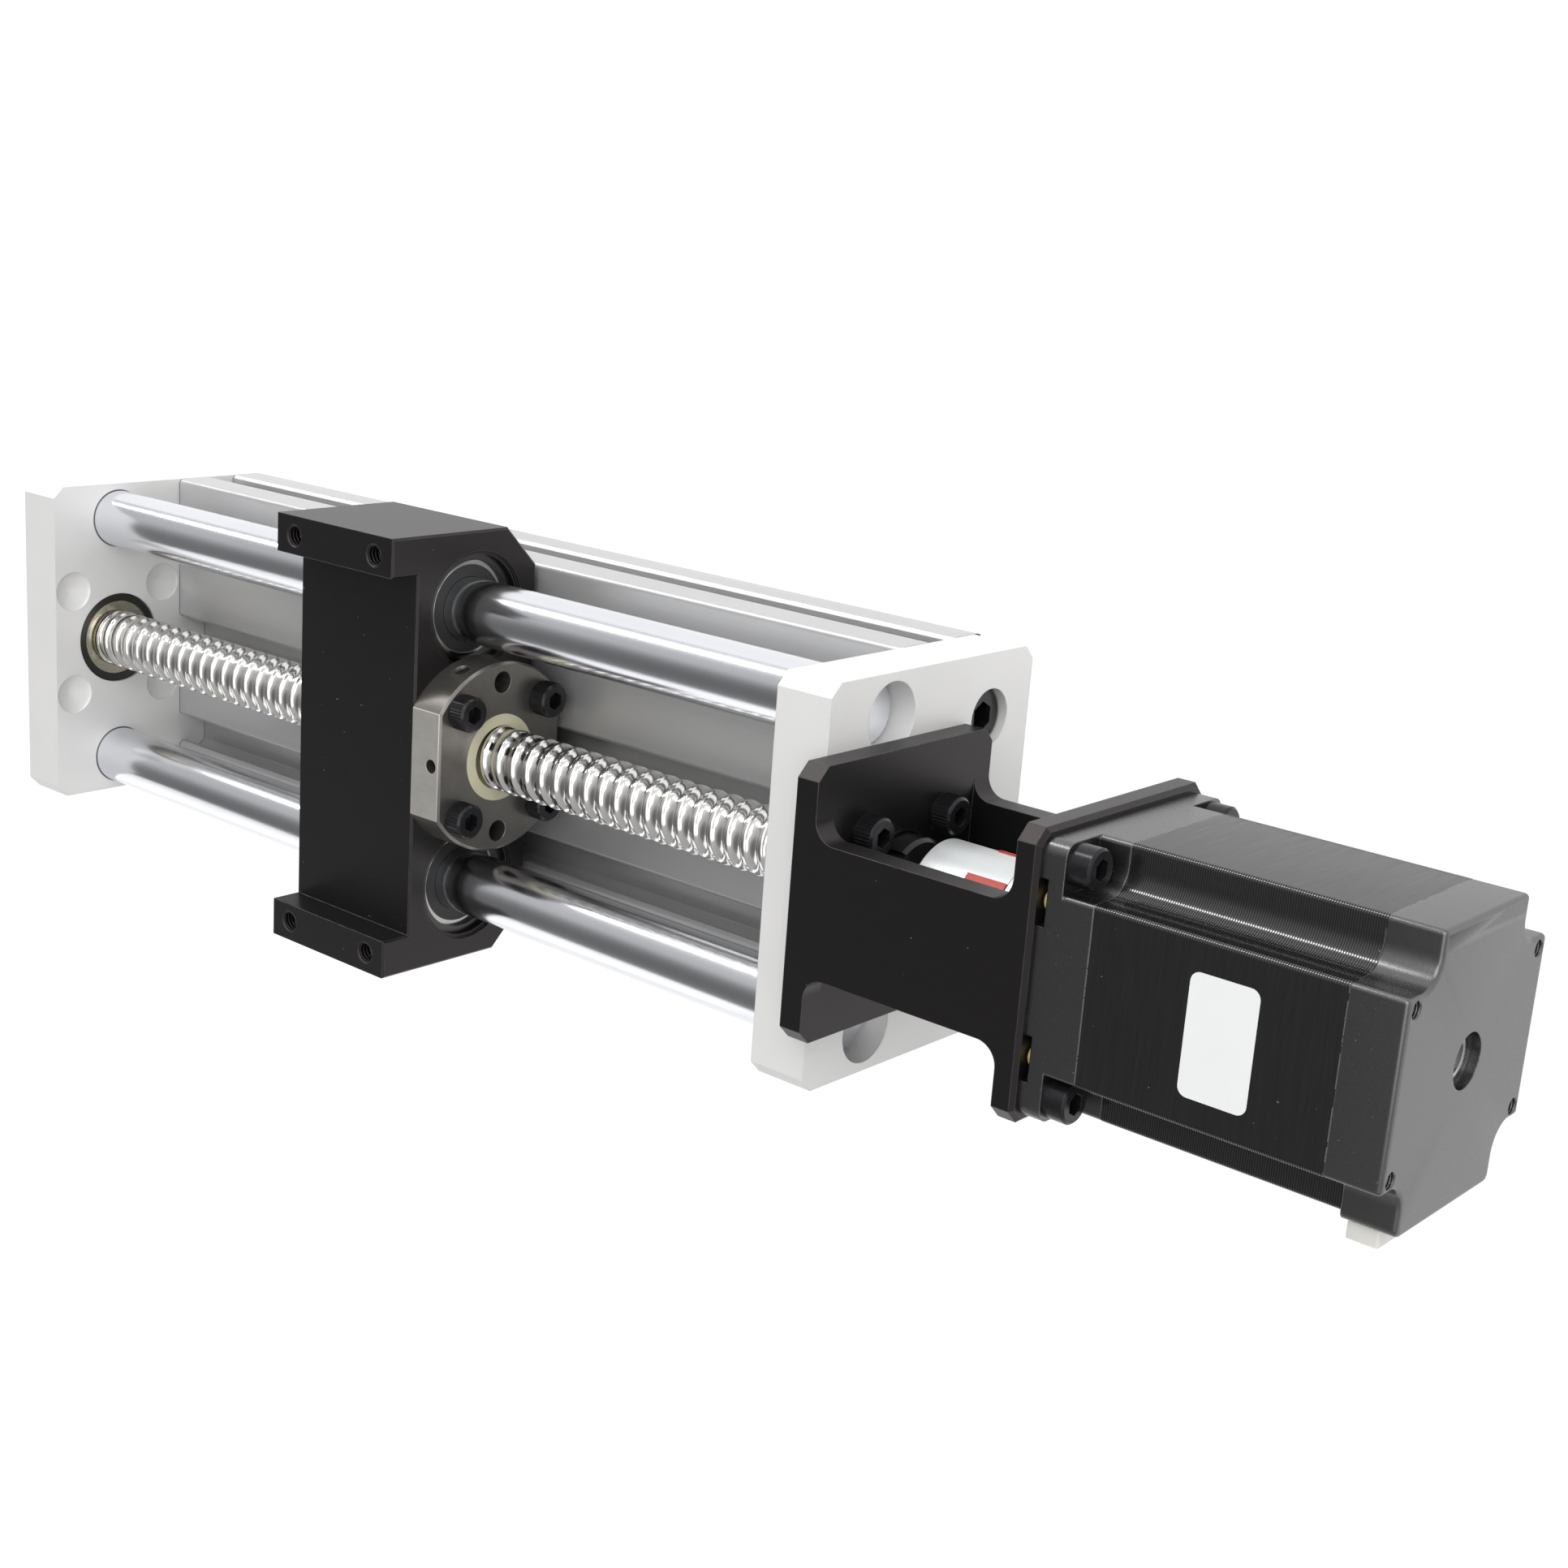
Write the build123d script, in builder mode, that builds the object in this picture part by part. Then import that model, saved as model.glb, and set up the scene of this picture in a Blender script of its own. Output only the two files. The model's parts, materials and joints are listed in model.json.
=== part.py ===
from build123d import *
import math
import os

# Ball screw table on two round guide rods, driven by a stepping motor through a jaw coupling.
# All sizes are in millimetres. The origin is the centre of the base's underside, +X runs along
# the travel towards the motor and +Z points from the base to the carriage's mounting face.

# Base extrusion: three square cells side by side, with a T-slot in the middle of every outer side
base_length = 267.0
base_cell = 30.0
base_cells = 3
base_corner_radius = 1.5
slot_mouth = 10.0
slot_mouth_depth = 0.9
slot_opening = 8.2
slot_lip = 2.2
slot_inner_width = 16.5
slot_taper_start = 4.7
slot_floor_width = 9.2
slot_depth = 9.0
web_chamber_width = 9.5
web_chamber_wall = 3.0
web_chamber_radius = 1.5

# End plates
plate_thickness = 14.5
plate_rise = 21.0
plate_chamfer = 3.0
pocket_distance = 30.0
pocket_diameter = 11.0
pocket_wall = 0.8
pocket_tip_angle = 140.0

# Guide rods, level with the ball screw
rod_inset = 10.0
rod_diameter = 16.0
rod_end_recess = 6.0
rod_end_chamfer = 1.0
press_clearance = 0.02

# Ball screw with its journals
screw_diameter = 16.0
journal_diameter = 10.0
drive_diameter = 8.0
screw_shoulder_diameter = 13.5
screw_shoulder_length = 1.0
journal_tail = 3.0
shaft_chamfer = 0.5

# Ball bearings of the screw, one at the idle end and a pair at the motor end
bearing_outer = 26.0
bearing_width = 8.0
bearing_ball = 4.76
bearing_balls = 7
bearing_cage_width = 1.6
bearing_edge_chamfer = 0.4
cage_half_thickness = 0.4
race_clearance = 0.05
bearing_inner_land = 14.6
bearing_outer_land = 21.4
bearing_shield_inner = 15.2
bearing_shield_thickness = 0.4
bearing_shield_recess = 0.3
idle_bearing_recess = 0.5
bearing_relief_diameter = 21.0
fixed_lip = 2.0
circlip_thickness = 1.0
circlip_side_clearance = 0.1
circlip_outer = 16.0
circlip_groove_depth = 0.2
circlip_gap = 4.0

# Lock nut on the fixed journal
lock_nut_diameter = 22.0
lock_nut_width = 7.5
lock_nut_chamfer = 0.8
lock_nut_slot_width = 4.0
lock_nut_slot_depth = 1.2
lock_nut_clearance = 0.5

# Motor bracket
bracket_overhang = 1.8
bracket_length = 59.0
bracket_cover_lip = 2.0
bracket_motor_plate = 5.0
bracket_wall = 5.5
bracket_waist = 29.0
bracket_waist_radius = 4.8
bracket_chamfer = 3.0
bracket_edge_chamfer = 0.9

# Jaw coupling
coupling_diameter = 25.0
hub_length = 12.0
spider_width = 10.0
coupling_motor_gap = 3.6
drive_end_gap = 1.0
jaw_count = 3
jaw_angle = 49.0
jaw_phase = 15.0
jaw_inner_diameter = 12.4
spider_ring_outer = 12.0
spider_ring_inner = 9.0
spider_side_clearance = 0.15
spider_leg_angle = 10.6
spider_leg_rise = 0.3
spider_leg_overlap = 0.2
hub_chamfer = 0.6
hub_screw_diameter = 4.0
hub_screw_angle = 55.0
set_screw_recess = 0.8
set_screw_hex = 2.0
set_screw_hex_depth = 2.0

# Stepping motor
motor_size = 56.4
motor_length = 75.0
motor_corner_radius = 3.0
motor_flange = 5.0
motor_front_cover = 12.0
motor_rear_cover = 11.0
motor_notch_y = 10.0
motor_notch_z = 11.0
motor_notch_radius = 5.5
motor_edge_radius = 1.0
motor_hole_inset = 4.63
motor_pilot_diameter = 38.1
motor_pilot_height = 1.6
motor_pilot_clearance = 0.1
motor_shaft_diameter = 8.0
motor_shaft_reach = 20.0
motor_shaft_tail = 2.5
motor_shaft_clearance = 1.0
motor_bearing_outer = 22.0
motor_bearing_width = 7.0
motor_bearing_inner_land = 12.2
motor_bearing_outer_land = 18.6
motor_bearing_ball = 3.97
motor_bearing_recess = 1.5
motor_bearing_cage_width = 1.4
motor_bearing_boss = 26.0
motor_rear_hole = 11.0
motor_frame_wall = 5.2
motor_bore = 33.0
motor_air_gap = 0.3
motor_pole_count = 8
motor_pole_width = 5.6
motor_pole_root = 0.6
motor_shoe_angle = 36.0
motor_shoe_thickness = 1.6
motor_coil_thickness = 2.6
motor_coil_shoe_gap = 0.2
motor_coil_wall_gap = 0.9
motor_coil_side_gap = 0.15
motor_end_turn = 4.0
motor_end_turn_clearance = 1.0
motor_rotor_gap = 5.0
motor_lug_inset = 9.2
motor_lug_drop = 1.0
motor_lug_radius = 1.8
tie_screw_inset_y = 12.4
tie_screw_inset_z = 3.0
tie_screw_diameter = 3.0
tie_screw_clearance = 0.1
tie_screw_setback = 2.2
tie_head_diameter = 4.6
tie_head_height = 1.4
tie_head_round = 0.9
tie_cross_length = 2.4
tie_cross_width = 0.6
tie_cross_depth = 0.7
tie_pocket_width = 9.5
tie_pocket_depth = 1.6
tie_pocket_clearance = 0.2
tie_hole_chamfer = 0.25

# Motor connector
connector_width = 18.0
connector_depth = 6.4
connector_drop = 4.0
connector_height = 9.0
connector_wall = 0.9
connector_corner_radius = 0.6
connector_floor = 3.0
connector_offset = 7.5
connector_setback = 3.6
connector_pins = 6
connector_pin_pitch = 2.5
connector_pin_size = 0.6
connector_pin_rise = 4.0

# Carriage
carriage_length = 44.0
carriage_position = -3.2
carriage_overhang = 10.0
carriage_base_clearance = 1.5
carriage_rise = 27.5
carriage_lip_width = 9.6
carriage_recess_depth = 8.0
carriage_bottom_chamfer = 10.0
carriage_edge_chamfer = 0.5
carriage_hole_end_inset = 7.0
carriage_hole_side_inset = 5.0
carriage_tap_diameter = 5.0
carriage_tap_depth = 14.0
carriage_tap_chamfer = 0.3
carriage_nut_clearance = 0.25

# Linear ball bearings of the carriage
linear_outer = 28.0
linear_length = 37.0
linear_shell_inner = 22.0
linear_groove_depth = 0.6
linear_groove_width = 1.6
linear_groove_pitch = 26.5
linear_seal_width = 2.0
linear_seal_clearance = 0.06
linear_cage_clearance = 0.4
linear_track_count = 5
linear_track_width = 5.2
linear_track_depth = 1.0
retaining_ring_thickness = 1.2
retaining_ring_inner = 24.6
retaining_ring_gap = 5.0
retaining_ring_gap_depth = 8.0
retaining_groove_diameter = 29.4
retaining_groove_width = 1.3
bore_mouth_diameter = 30.0
bore_mouth_depth = 0.8

# Ball nut
nut_body_diameter = 28.0
nut_length = 45.0
nut_flange_diameter = 48.0
nut_flange_flats = 40.0
nut_flange_thickness = 10.0
nut_base_clearance = 1.0
nut_hole_circle_diameter = 38.0
nut_hole_diameter = 5.5
nut_bore_clearance = 0.08
nut_wiper_diameter = 22.0
nut_wiper_width = 3.0
nut_wiper_clearance = 0.06
nut_edge_chamfer = 0.6
nut_oil_hole = 3.5
nut_oil_hole_depth = 9.0
nut_oil_hole_from_seat = 7.0
oil_plug_diameter = 4.0
oil_plug_angle = 22.0
oil_plug_length = 4.0
oil_plug_recess = 0.4

# Fasteners: head diameter, head height, hexagon across flats, thread diameter, thread core
m8_head = 13.0
m8_head_height = 8.0
m8_hex = 6.0
m8_thread = 8.0
m8_core = 6.8
m8_counterbore = 13.5
m8_head_recess = 2.0
m8_engagement = 16.0
m5_head = 8.5
m5_head_height = 5.0
m5_hex = 4.0
m5_thread = 5.0
m5_core = 4.2
m5_bracket_engagement = 10.0
m5_nut_engagement = 11.0
thread_run_out = 1.0
hole_clearance = 0.25
thread_clearance = 0.05
head_chamfer = 0.5
hex_depth_share = 0.55

# Edges whose places agree within this are taken as the same
same_place = 0.001

# Places that follow from the sizes above
base_width = base_cell * base_cells
base_end = base_length / 2
unit_end = base_end + plate_thickness
axis_height = base_cell + nut_base_clearance + nut_flange_flats / 2
plate_height = axis_height + plate_rise
rod_y = base_width / 2 - rod_inset
rod_end = unit_end - rod_end_recess
profile_bolt_y = base_cell
profile_bolt_z = base_cell / 2

idle_bearing_face = -base_end - idle_bearing_recess
idle_bearing_back = idle_bearing_face - bearing_width
circlip_groove_width = circlip_thickness + circlip_side_clearance
journal_end = idle_bearing_back - journal_tail
fixed_bearing_start = base_end + fixed_lip
fixed_bearing_end = fixed_bearing_start + 2 * bearing_width
bracket_register = fixed_bearing_end - unit_end
bracket_flange = bracket_register + bracket_cover_lip
lock_nut_end = fixed_bearing_end + lock_nut_width

motor_flat_y = motor_size - 2 * motor_notch_y
motor_flat_z = motor_size - 2 * motor_notch_z
motor_hole_distance = motor_size - 2 * motor_hole_inset
motor_slot_circle = motor_size - 2 * motor_frame_wall
motor_lug_half_width = motor_size / 2 - motor_lug_inset
tie_screw_y = motor_size / 2 - tie_screw_inset_y
tie_screw_z = motor_size / 2 - tie_screw_inset_z
tie_pocket_height = tie_screw_inset_z + tie_head_diameter / 2 + tie_pocket_clearance
bracket_size = motor_size + 2 * bracket_overhang

motor_face = unit_end + bracket_length
bracket_plate_face = motor_face - bracket_motor_plate
coupling_end = bracket_plate_face - coupling_motor_gap
motor_hub_face = coupling_end - hub_length
screw_hub_face = motor_hub_face - spider_width
coupling_start = screw_hub_face - hub_length
drive_end = screw_hub_face - drive_end_gap
motor_stator_start = motor_face + motor_front_cover
motor_end = motor_face + motor_length
motor_stator_end = motor_end - motor_rear_cover
motor_front_bearing = motor_stator_start - motor_bearing_recess - motor_bearing_width
motor_rear_bearing = motor_stator_end + motor_bearing_recess
bracket_screw_offset = nut_hole_circle_diameter / 2 * math.sin(math.radians(45))

carriage_width = base_width + 2 * carriage_overhang
carriage_underside = base_cell + carriage_base_clearance
carriage_top = axis_height + carriage_rise
carriage_hole_distance_x = carriage_length - 2 * carriage_hole_end_inset
carriage_hole_distance_y = carriage_width - 2 * carriage_hole_side_inset
carriage_start = carriage_position - carriage_length / 2
carriage_end = carriage_position + carriage_length / 2
linear_start = carriage_position - linear_length / 2
linear_end = carriage_position + linear_length / 2
nut_face = carriage_end + nut_flange_thickness
nut_back = nut_face - nut_length

center_min = (Align.CENTER, Align.MIN)


def station(x, facing=1, height=0.0):
    """Plane across the travel at x: its own x runs along Y and its own y along Z."""
    return Plane(origin=(x, 0, height), x_dir=(0, facing, 0), z_dir=(facing, 0, 0))


def axis_station(x, facing=1):
    """The same plane with its origin on the ball screw's axis."""
    return station(x, facing, axis_height)


def turning_plane(y=0.0):
    """Plane through a turned piece's axis: its own x runs along X and its own y is the radius."""
    return Plane(origin=(0, y, axis_height), x_dir=(1, 0, 0), z_dir=(0, -1, 0))


def turning_axis(y=0.0):
    """Axis along X at the height of the screw and the rods."""
    return Axis((0, y, axis_height), (1, 0, 0))


def turned_ring(start, end, inner, outer, y, chamfer_size):
    """Plain ring between two stations, with its outer corners broken."""
    with BuildPart() as ring:
        with BuildSketch(turning_plane(y)):
            with BuildLine():
                Polyline(
                    (start, inner),
                    (start, outer - chamfer_size),
                    (start + chamfer_size, outer),
                    (end - chamfer_size, outer),
                    (end, outer - chamfer_size),
                    (end, inner),
                    close=True,
                )
            make_face()
        revolve(axis=turning_axis(y))
    return ring.part


def plain_ring(start, end, inner, outer, y=0.0):
    """Ring of rectangular section between two stations."""
    with BuildPart() as ring:
        with BuildSketch(axis_station(start)):
            with Locations((y, 0)):
                Circle(outer)
                Circle(inner, mode=Mode.SUBTRACT)
        extrude(amount=end - start)
    return ring.part


def grooved_ring(start, width, inner, outer, seat_radius, ball, pitch_radius):
    """Bearing ring with a round race, and broken corners on the side that it is seated by."""
    middle = start + width / 2
    with BuildPart() as ring:
        with BuildSketch(turning_plane()):
            with Locations((middle, (inner + outer) / 2)):
                Rectangle(width, outer - inner)
            with Locations((middle, pitch_radius)):
                Circle(ball / 2 + race_clearance, mode=Mode.SUBTRACT)
        revolve(axis=turning_axis())
        corners = ring.edges().filter_by(GeomType.CIRCLE).filter_by(
            lambda edge: abs(edge.radius - seat_radius) < same_place
        )
        chamfer(corners, bearing_edge_chamfer)
    return ring.part


def ball_set(start, width, ball, count, pitch_radius, cage_width):
    """Ring of balls in a thin cage that links them."""
    middle = start + width / 2
    with BuildPart() as balls:
        with BuildSketch(axis_station(middle - cage_width / 2)):
            Circle(pitch_radius + cage_half_thickness)
            Circle(pitch_radius - cage_half_thickness, mode=Mode.SUBTRACT)
        extrude(amount=cage_width)
        with Locations(axis_station(middle)):
            with PolarLocations(pitch_radius, count):
                Sphere(ball / 2)
    return balls.part


def socket_screws(seat, places, head, head_height, hex_size, thread, core, grip, engagement):
    """Socket head screws on a seat plane: heads above it, plain shank, thread at its core size."""
    out = Axis(seat.origin, seat.z_dir)
    with BuildPart() as screws:
        with BuildSketch(seat):
            with Locations(*places):
                Circle(head / 2)
        extrude(amount=head_height)
        tops = screws.faces().group_by(out)[-1]
        chamfer(tops.edges(), head_chamfer)
        with BuildSketch(seat.offset(head_height)):
            with Locations(*places):
                RegularPolygon(hex_size / 2, 6, major_radius=False)
        extrude(amount=-head_height * hex_depth_share, mode=Mode.SUBTRACT)
        with BuildSketch(seat):
            with Locations(*places):
                Circle(thread / 2)
        extrude(amount=-grip)
        with BuildSketch(seat.offset(-grip)):
            with Locations(*places):
                Circle(core / 2 - thread_clearance)
        extrude(amount=-engagement)
    return screws.part


def save(part, name):
    """Label a finished piece and write it under its node's name."""
    part.label = name
    export_step(part, f"parts/{name}.step")


os.makedirs("parts", exist_ok=True)

# Base profile
slot_half = [
    (0, 0),
    (slot_mouth / 2, 0),
    (slot_opening / 2, -slot_mouth_depth),
    (slot_opening / 2, -slot_lip),
    (slot_inner_width / 2, -slot_lip),
    (slot_inner_width / 2, -slot_taper_start),
    (slot_floor_width / 2, -slot_depth),
    (0, -slot_depth),
]
with BuildSketch() as slot_section:
    with BuildLine():
        Polyline(*slot_half)
        mirror(about=Plane.YZ)
    make_face()

cell_centres = [(index - (base_cells - 1) / 2) * base_cell for index in range(base_cells)]
web_centres = [(centre + base_cell / 2) for centre in cell_centres[:-1]]
with BuildPart() as base_profile:
    with BuildSketch(station(-base_end, height=base_cell / 2)):
        RectangleRounded(base_width, base_cell, base_corner_radius)
        with Locations(*[(centre, base_cell / 2) for centre in cell_centres]):
            add(slot_section.sketch, mode=Mode.SUBTRACT)
        with Locations(*[(centre, -base_cell / 2) for centre in cell_centres]):
            add(slot_section.sketch, rotation=180, mode=Mode.SUBTRACT)
        with Locations((base_width / 2, 0)):
            add(slot_section.sketch, rotation=-90, mode=Mode.SUBTRACT)
        with Locations((-base_width / 2, 0)):
            add(slot_section.sketch, rotation=90, mode=Mode.SUBTRACT)
        with Locations(*[(centre, 0) for centre in cell_centres]):
            Circle(m8_core / 2, mode=Mode.SUBTRACT)
        with Locations(*[(centre, 0) for centre in web_centres]):
            RectangleRounded(
                web_chamber_width,
                base_cell - 2 * web_chamber_wall,
                web_chamber_radius,
                mode=Mode.SUBTRACT,
            )
    extrude(amount=base_length)
save(base_profile.part, "base_profile")

# End plates, each bored for both rods, two profile bolts and its screw bearings
bolt_places = [(-profile_bolt_y, profile_bolt_z), (profile_bolt_y, profile_bolt_z)]
rod_places = [(-rod_y, axis_height), (rod_y, axis_height)]


def end_plate(inner_face, outward):
    """Plate blank with its rod bores and counterbored profile bolt holes."""
    with BuildPart() as plate:
        with BuildSketch(station(inner_face, outward)):
            Rectangle(base_width, plate_height, align=center_min)
            chamfer(vertices(), plate_chamfer)
        extrude(amount=plate_thickness)
        with BuildSketch(station(inner_face, outward)):
            with Locations(*rod_places):
                Circle(rod_diameter / 2 + press_clearance)
        extrude(amount=plate_thickness, mode=Mode.SUBTRACT)
        with Locations(station(inner_face + outward * plate_thickness, outward)):
            with Locations(*bolt_places):
                CounterBoreHole(
                    m8_thread / 2 + hole_clearance,
                    m8_counterbore / 2,
                    m8_head_height + m8_head_recess,
                )
    return plate.part


with BuildPart() as end_plate_idle:
    add(end_plate(-base_end, -1))
    with Locations(axis_station(-base_end)):
        CounterBoreHole(
            bearing_relief_diameter / 2,
            bearing_outer / 2 + press_clearance,
            idle_bearing_recess + bearing_width,
        )
        with GridLocations(pocket_distance, pocket_distance, 2, 2):
            Cylinder(
                pocket_diameter / 2,
                pocket_wall,
                align=(Align.CENTER, Align.CENTER, Align.MAX),
                mode=Mode.SUBTRACT,
            )
    pocket_cone = pocket_diameter / 2 / math.tan(math.radians(pocket_tip_angle / 2))
    with Locations(axis_station(-base_end - pocket_wall)):
        with GridLocations(pocket_distance, pocket_distance, 2, 2):
            Cone(
                0,
                pocket_diameter / 2,
                pocket_cone,
                align=(Align.CENTER, Align.CENTER, Align.MAX),
                mode=Mode.SUBTRACT,
            )
save(end_plate_idle.part, "end_plate_idle")

with BuildPart() as end_plate_motor:
    add(end_plate(base_end, 1))
    with Locations(axis_station(unit_end)):
        CounterBoreHole(
            bearing_relief_diameter / 2,
            bearing_outer / 2 + press_clearance,
            plate_thickness - fixed_lip,
        )
        with PolarLocations(nut_hole_circle_diameter / 2, 4, start_angle=45):
            Hole(m5_core / 2, m5_bracket_engagement + thread_run_out)
save(end_plate_motor.part, "end_plate_motor")

for side, outward in (("idle", -1), ("motor", 1)):
    seat_x = outward * (unit_end - m8_head_height - m8_head_recess)
    bolts = socket_screws(
        station(seat_x, outward),
        bolt_places,
        m8_head,
        m8_head_height,
        m8_hex,
        m8_thread,
        m8_core,
        plate_thickness - m8_head_height - m8_head_recess,
        m8_engagement,
    )
    save(bolts, f"profile_bolts_{side}")

# Guide rods
for side, rod_place in (("left", rod_y), ("right", -rod_y)):
    with BuildPart() as guide_rod:
        with BuildSketch(axis_station(-rod_end)):
            with Locations((rod_place, 0)):
                Circle(rod_diameter / 2)
        extrude(amount=2 * rod_end)
        chamfer(guide_rod.edges().filter_by(GeomType.CIRCLE), rod_end_chamfer)
    save(guide_rod.part, f"guide_rod_{side}")

# Ball screw: ground journals at both ends, the threaded length as a plain bar of its outer size
journal_radius = journal_diameter / 2
groove_radius = journal_radius - circlip_groove_depth
thread_start = idle_bearing_face + screw_shoulder_length
thread_end = fixed_bearing_start - screw_shoulder_length
with BuildPart() as ball_screw:
    with BuildSketch(turning_plane()):
        with BuildLine():
            Polyline(
                (journal_end, 0),
                (journal_end, journal_radius - shaft_chamfer),
                (journal_end + shaft_chamfer, journal_radius),
                (idle_bearing_back - circlip_groove_width, journal_radius),
                (idle_bearing_back - circlip_groove_width, groove_radius),
                (idle_bearing_back, groove_radius),
                (idle_bearing_back, journal_radius),
                (idle_bearing_face, journal_radius),
                (idle_bearing_face, screw_shoulder_diameter / 2),
                (thread_start, screw_shoulder_diameter / 2),
                (thread_start, screw_diameter / 2),
                (thread_end, screw_diameter / 2),
                (thread_end, screw_shoulder_diameter / 2),
                (fixed_bearing_start, screw_shoulder_diameter / 2),
                (fixed_bearing_start, journal_radius),
                (lock_nut_end, journal_radius),
                (lock_nut_end + shaft_chamfer, drive_diameter / 2),
                (drive_end - shaft_chamfer, drive_diameter / 2),
                (drive_end, drive_diameter / 2 - shaft_chamfer),
                (drive_end, 0),
                close=True,
            )
        make_face()
    revolve(axis=turning_axis())
save(ball_screw.part, "ball_screw")

# Screw bearings: rings, balls and shields
bearing_pitch_radius = (bearing_outer + journal_diameter) / 4
bearing_places = {
    "idle_bearing": idle_bearing_back,
    "fixed_bearing_inboard": fixed_bearing_start,
    "fixed_bearing_outboard": fixed_bearing_start + bearing_width,
}
for name, start in bearing_places.items():
    outer_ring = grooved_ring(
        start,
        bearing_width,
        bearing_outer_land / 2,
        bearing_outer / 2,
        bearing_outer / 2,
        bearing_ball,
        bearing_pitch_radius,
    )
    save(outer_ring, f"{name}_outer_ring")
    inner_ring = grooved_ring(
        start,
        bearing_width,
        journal_radius + press_clearance,
        bearing_inner_land / 2,
        journal_radius + press_clearance,
        bearing_ball,
        bearing_pitch_radius,
    )
    save(inner_ring, f"{name}_inner_ring")
    balls = ball_set(
        start,
        bearing_width,
        bearing_ball,
        bearing_balls,
        bearing_pitch_radius,
        bearing_cage_width,
    )
    save(balls, f"{name}_balls")

shield_places = [
    idle_bearing_back + bearing_shield_recess,
    idle_bearing_face - bearing_shield_recess - bearing_shield_thickness,
]
with BuildPart() as idle_bearing_shields:
    for start in shield_places:
        add(
            plain_ring(
                start,
                start + bearing_shield_thickness,
                bearing_shield_inner / 2,
                bearing_outer_land / 2,
            )
        )
save(idle_bearing_shields.part, "idle_bearing_shields")

# Snap ring that holds the idle bearing on its journal
with BuildPart() as idle_snap_ring:
    with BuildSketch(axis_station(idle_bearing_back - circlip_thickness)):
        Circle(circlip_outer / 2)
        Circle(groove_radius + press_clearance, mode=Mode.SUBTRACT)
        with Locations((0, circlip_outer / 2)):
            Rectangle(circlip_gap, circlip_outer, mode=Mode.SUBTRACT)
    extrude(amount=circlip_thickness)
save(idle_snap_ring.part, "idle_snap_ring")

# Lock nut that clamps the fixed bearings' inner rings
with BuildPart() as lock_nut:
    add(
        turned_ring(
            fixed_bearing_end,
            lock_nut_end,
            journal_radius + press_clearance,
            lock_nut_diameter / 2,
            0.0,
            lock_nut_chamfer,
        )
    )
    with BuildSketch(axis_station(fixed_bearing_end)):
        with PolarLocations(lock_nut_diameter / 2, 4, start_angle=45):
            Rectangle(2 * lock_nut_slot_depth, lock_nut_slot_width)
    extrude(amount=lock_nut_width, mode=Mode.SUBTRACT)
save(lock_nut.part, "lock_nut")

# Motor bracket: flange, motor plate and the two waisted side walls between them
with BuildPart() as motor_bracket:
    with BuildSketch(axis_station(unit_end)):
        Rectangle(bracket_size, bracket_size)
        chamfer(vertices(), bracket_chamfer)
    extrude(amount=bracket_length)
    inner_start = unit_end + bracket_flange
    inner_length = bracket_plate_face - inner_start
    cavity_height = bracket_size - 2 * bracket_wall
    with BuildSketch(axis_station(inner_start)):
        Rectangle(bracket_size, cavity_height)
    extrude(amount=inner_length, mode=Mode.SUBTRACT)
    window_height = (bracket_size - bracket_waist) / 2
    with BuildSketch(Plane.XY.offset(axis_height - bracket_size / 2)):
        for side in (-1, 1):
            with Locations(((inner_start + bracket_plate_face) / 2, side * bracket_size / 2)):
                Rectangle(inner_length, 2 * window_height)
    extrude(amount=bracket_size, mode=Mode.SUBTRACT)
    waist_corners = (
        motor_bracket.edges()
        .filter_by(Axis.Z)
        .filter_by(lambda edge: abs(abs(edge.center().Y) - bracket_waist / 2) < same_place)
    )
    fillet(waist_corners, bracket_waist_radius)
    chamfer(motor_bracket.faces().sort_by(Axis.X)[-1].edges(), bracket_edge_chamfer)
    with Locations(axis_station(unit_end, -1)):
        CounterBoreHole(
            lock_nut_diameter / 2 + lock_nut_clearance,
            bearing_outer / 2 + press_clearance,
            bracket_register,
            bracket_flange,
        )
    with Locations(axis_station(inner_start)):
        with PolarLocations(nut_hole_circle_diameter / 2, 4, start_angle=45):
            Hole(m5_thread / 2 + hole_clearance, bracket_flange)
    with Locations(axis_station(motor_face)):
        Hole(motor_pilot_diameter / 2 + motor_pilot_clearance, bracket_motor_plate)
        with GridLocations(motor_hole_distance, motor_hole_distance, 2, 2):
            Hole(m5_core / 2, bracket_motor_plate)
save(motor_bracket.part, "motor_bracket")

polar_places = [
    (side_y * bracket_screw_offset, side_z * bracket_screw_offset)
    for side_y in (-1, 1)
    for side_z in (-1, 1)
]
bracket_screws = socket_screws(
    axis_station(unit_end + bracket_flange),
    polar_places,
    m5_head,
    m5_head_height,
    m5_hex,
    m5_thread,
    m5_core,
    bracket_flange,
    m5_bracket_engagement,
)
save(bracket_screws, "bracket_screws")


# Jaw coupling: two hubs with interlocking jaws and the elastic spider between them
def sector(inner, outer, middle_angle, span):
    """Ring sector in the current sketch, centred on an angle."""
    first = middle_angle - span / 2
    with BuildLine() as outline:
        outer_arc = CenterArc((0, 0), outer, first, span)
        inner_arc = CenterArc((0, 0), inner, first, span)
        Line(outer_arc @ 0, inner_arc @ 0)
        Line(outer_arc @ 1, inner_arc @ 1)
    make_face(outline.edges())


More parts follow.
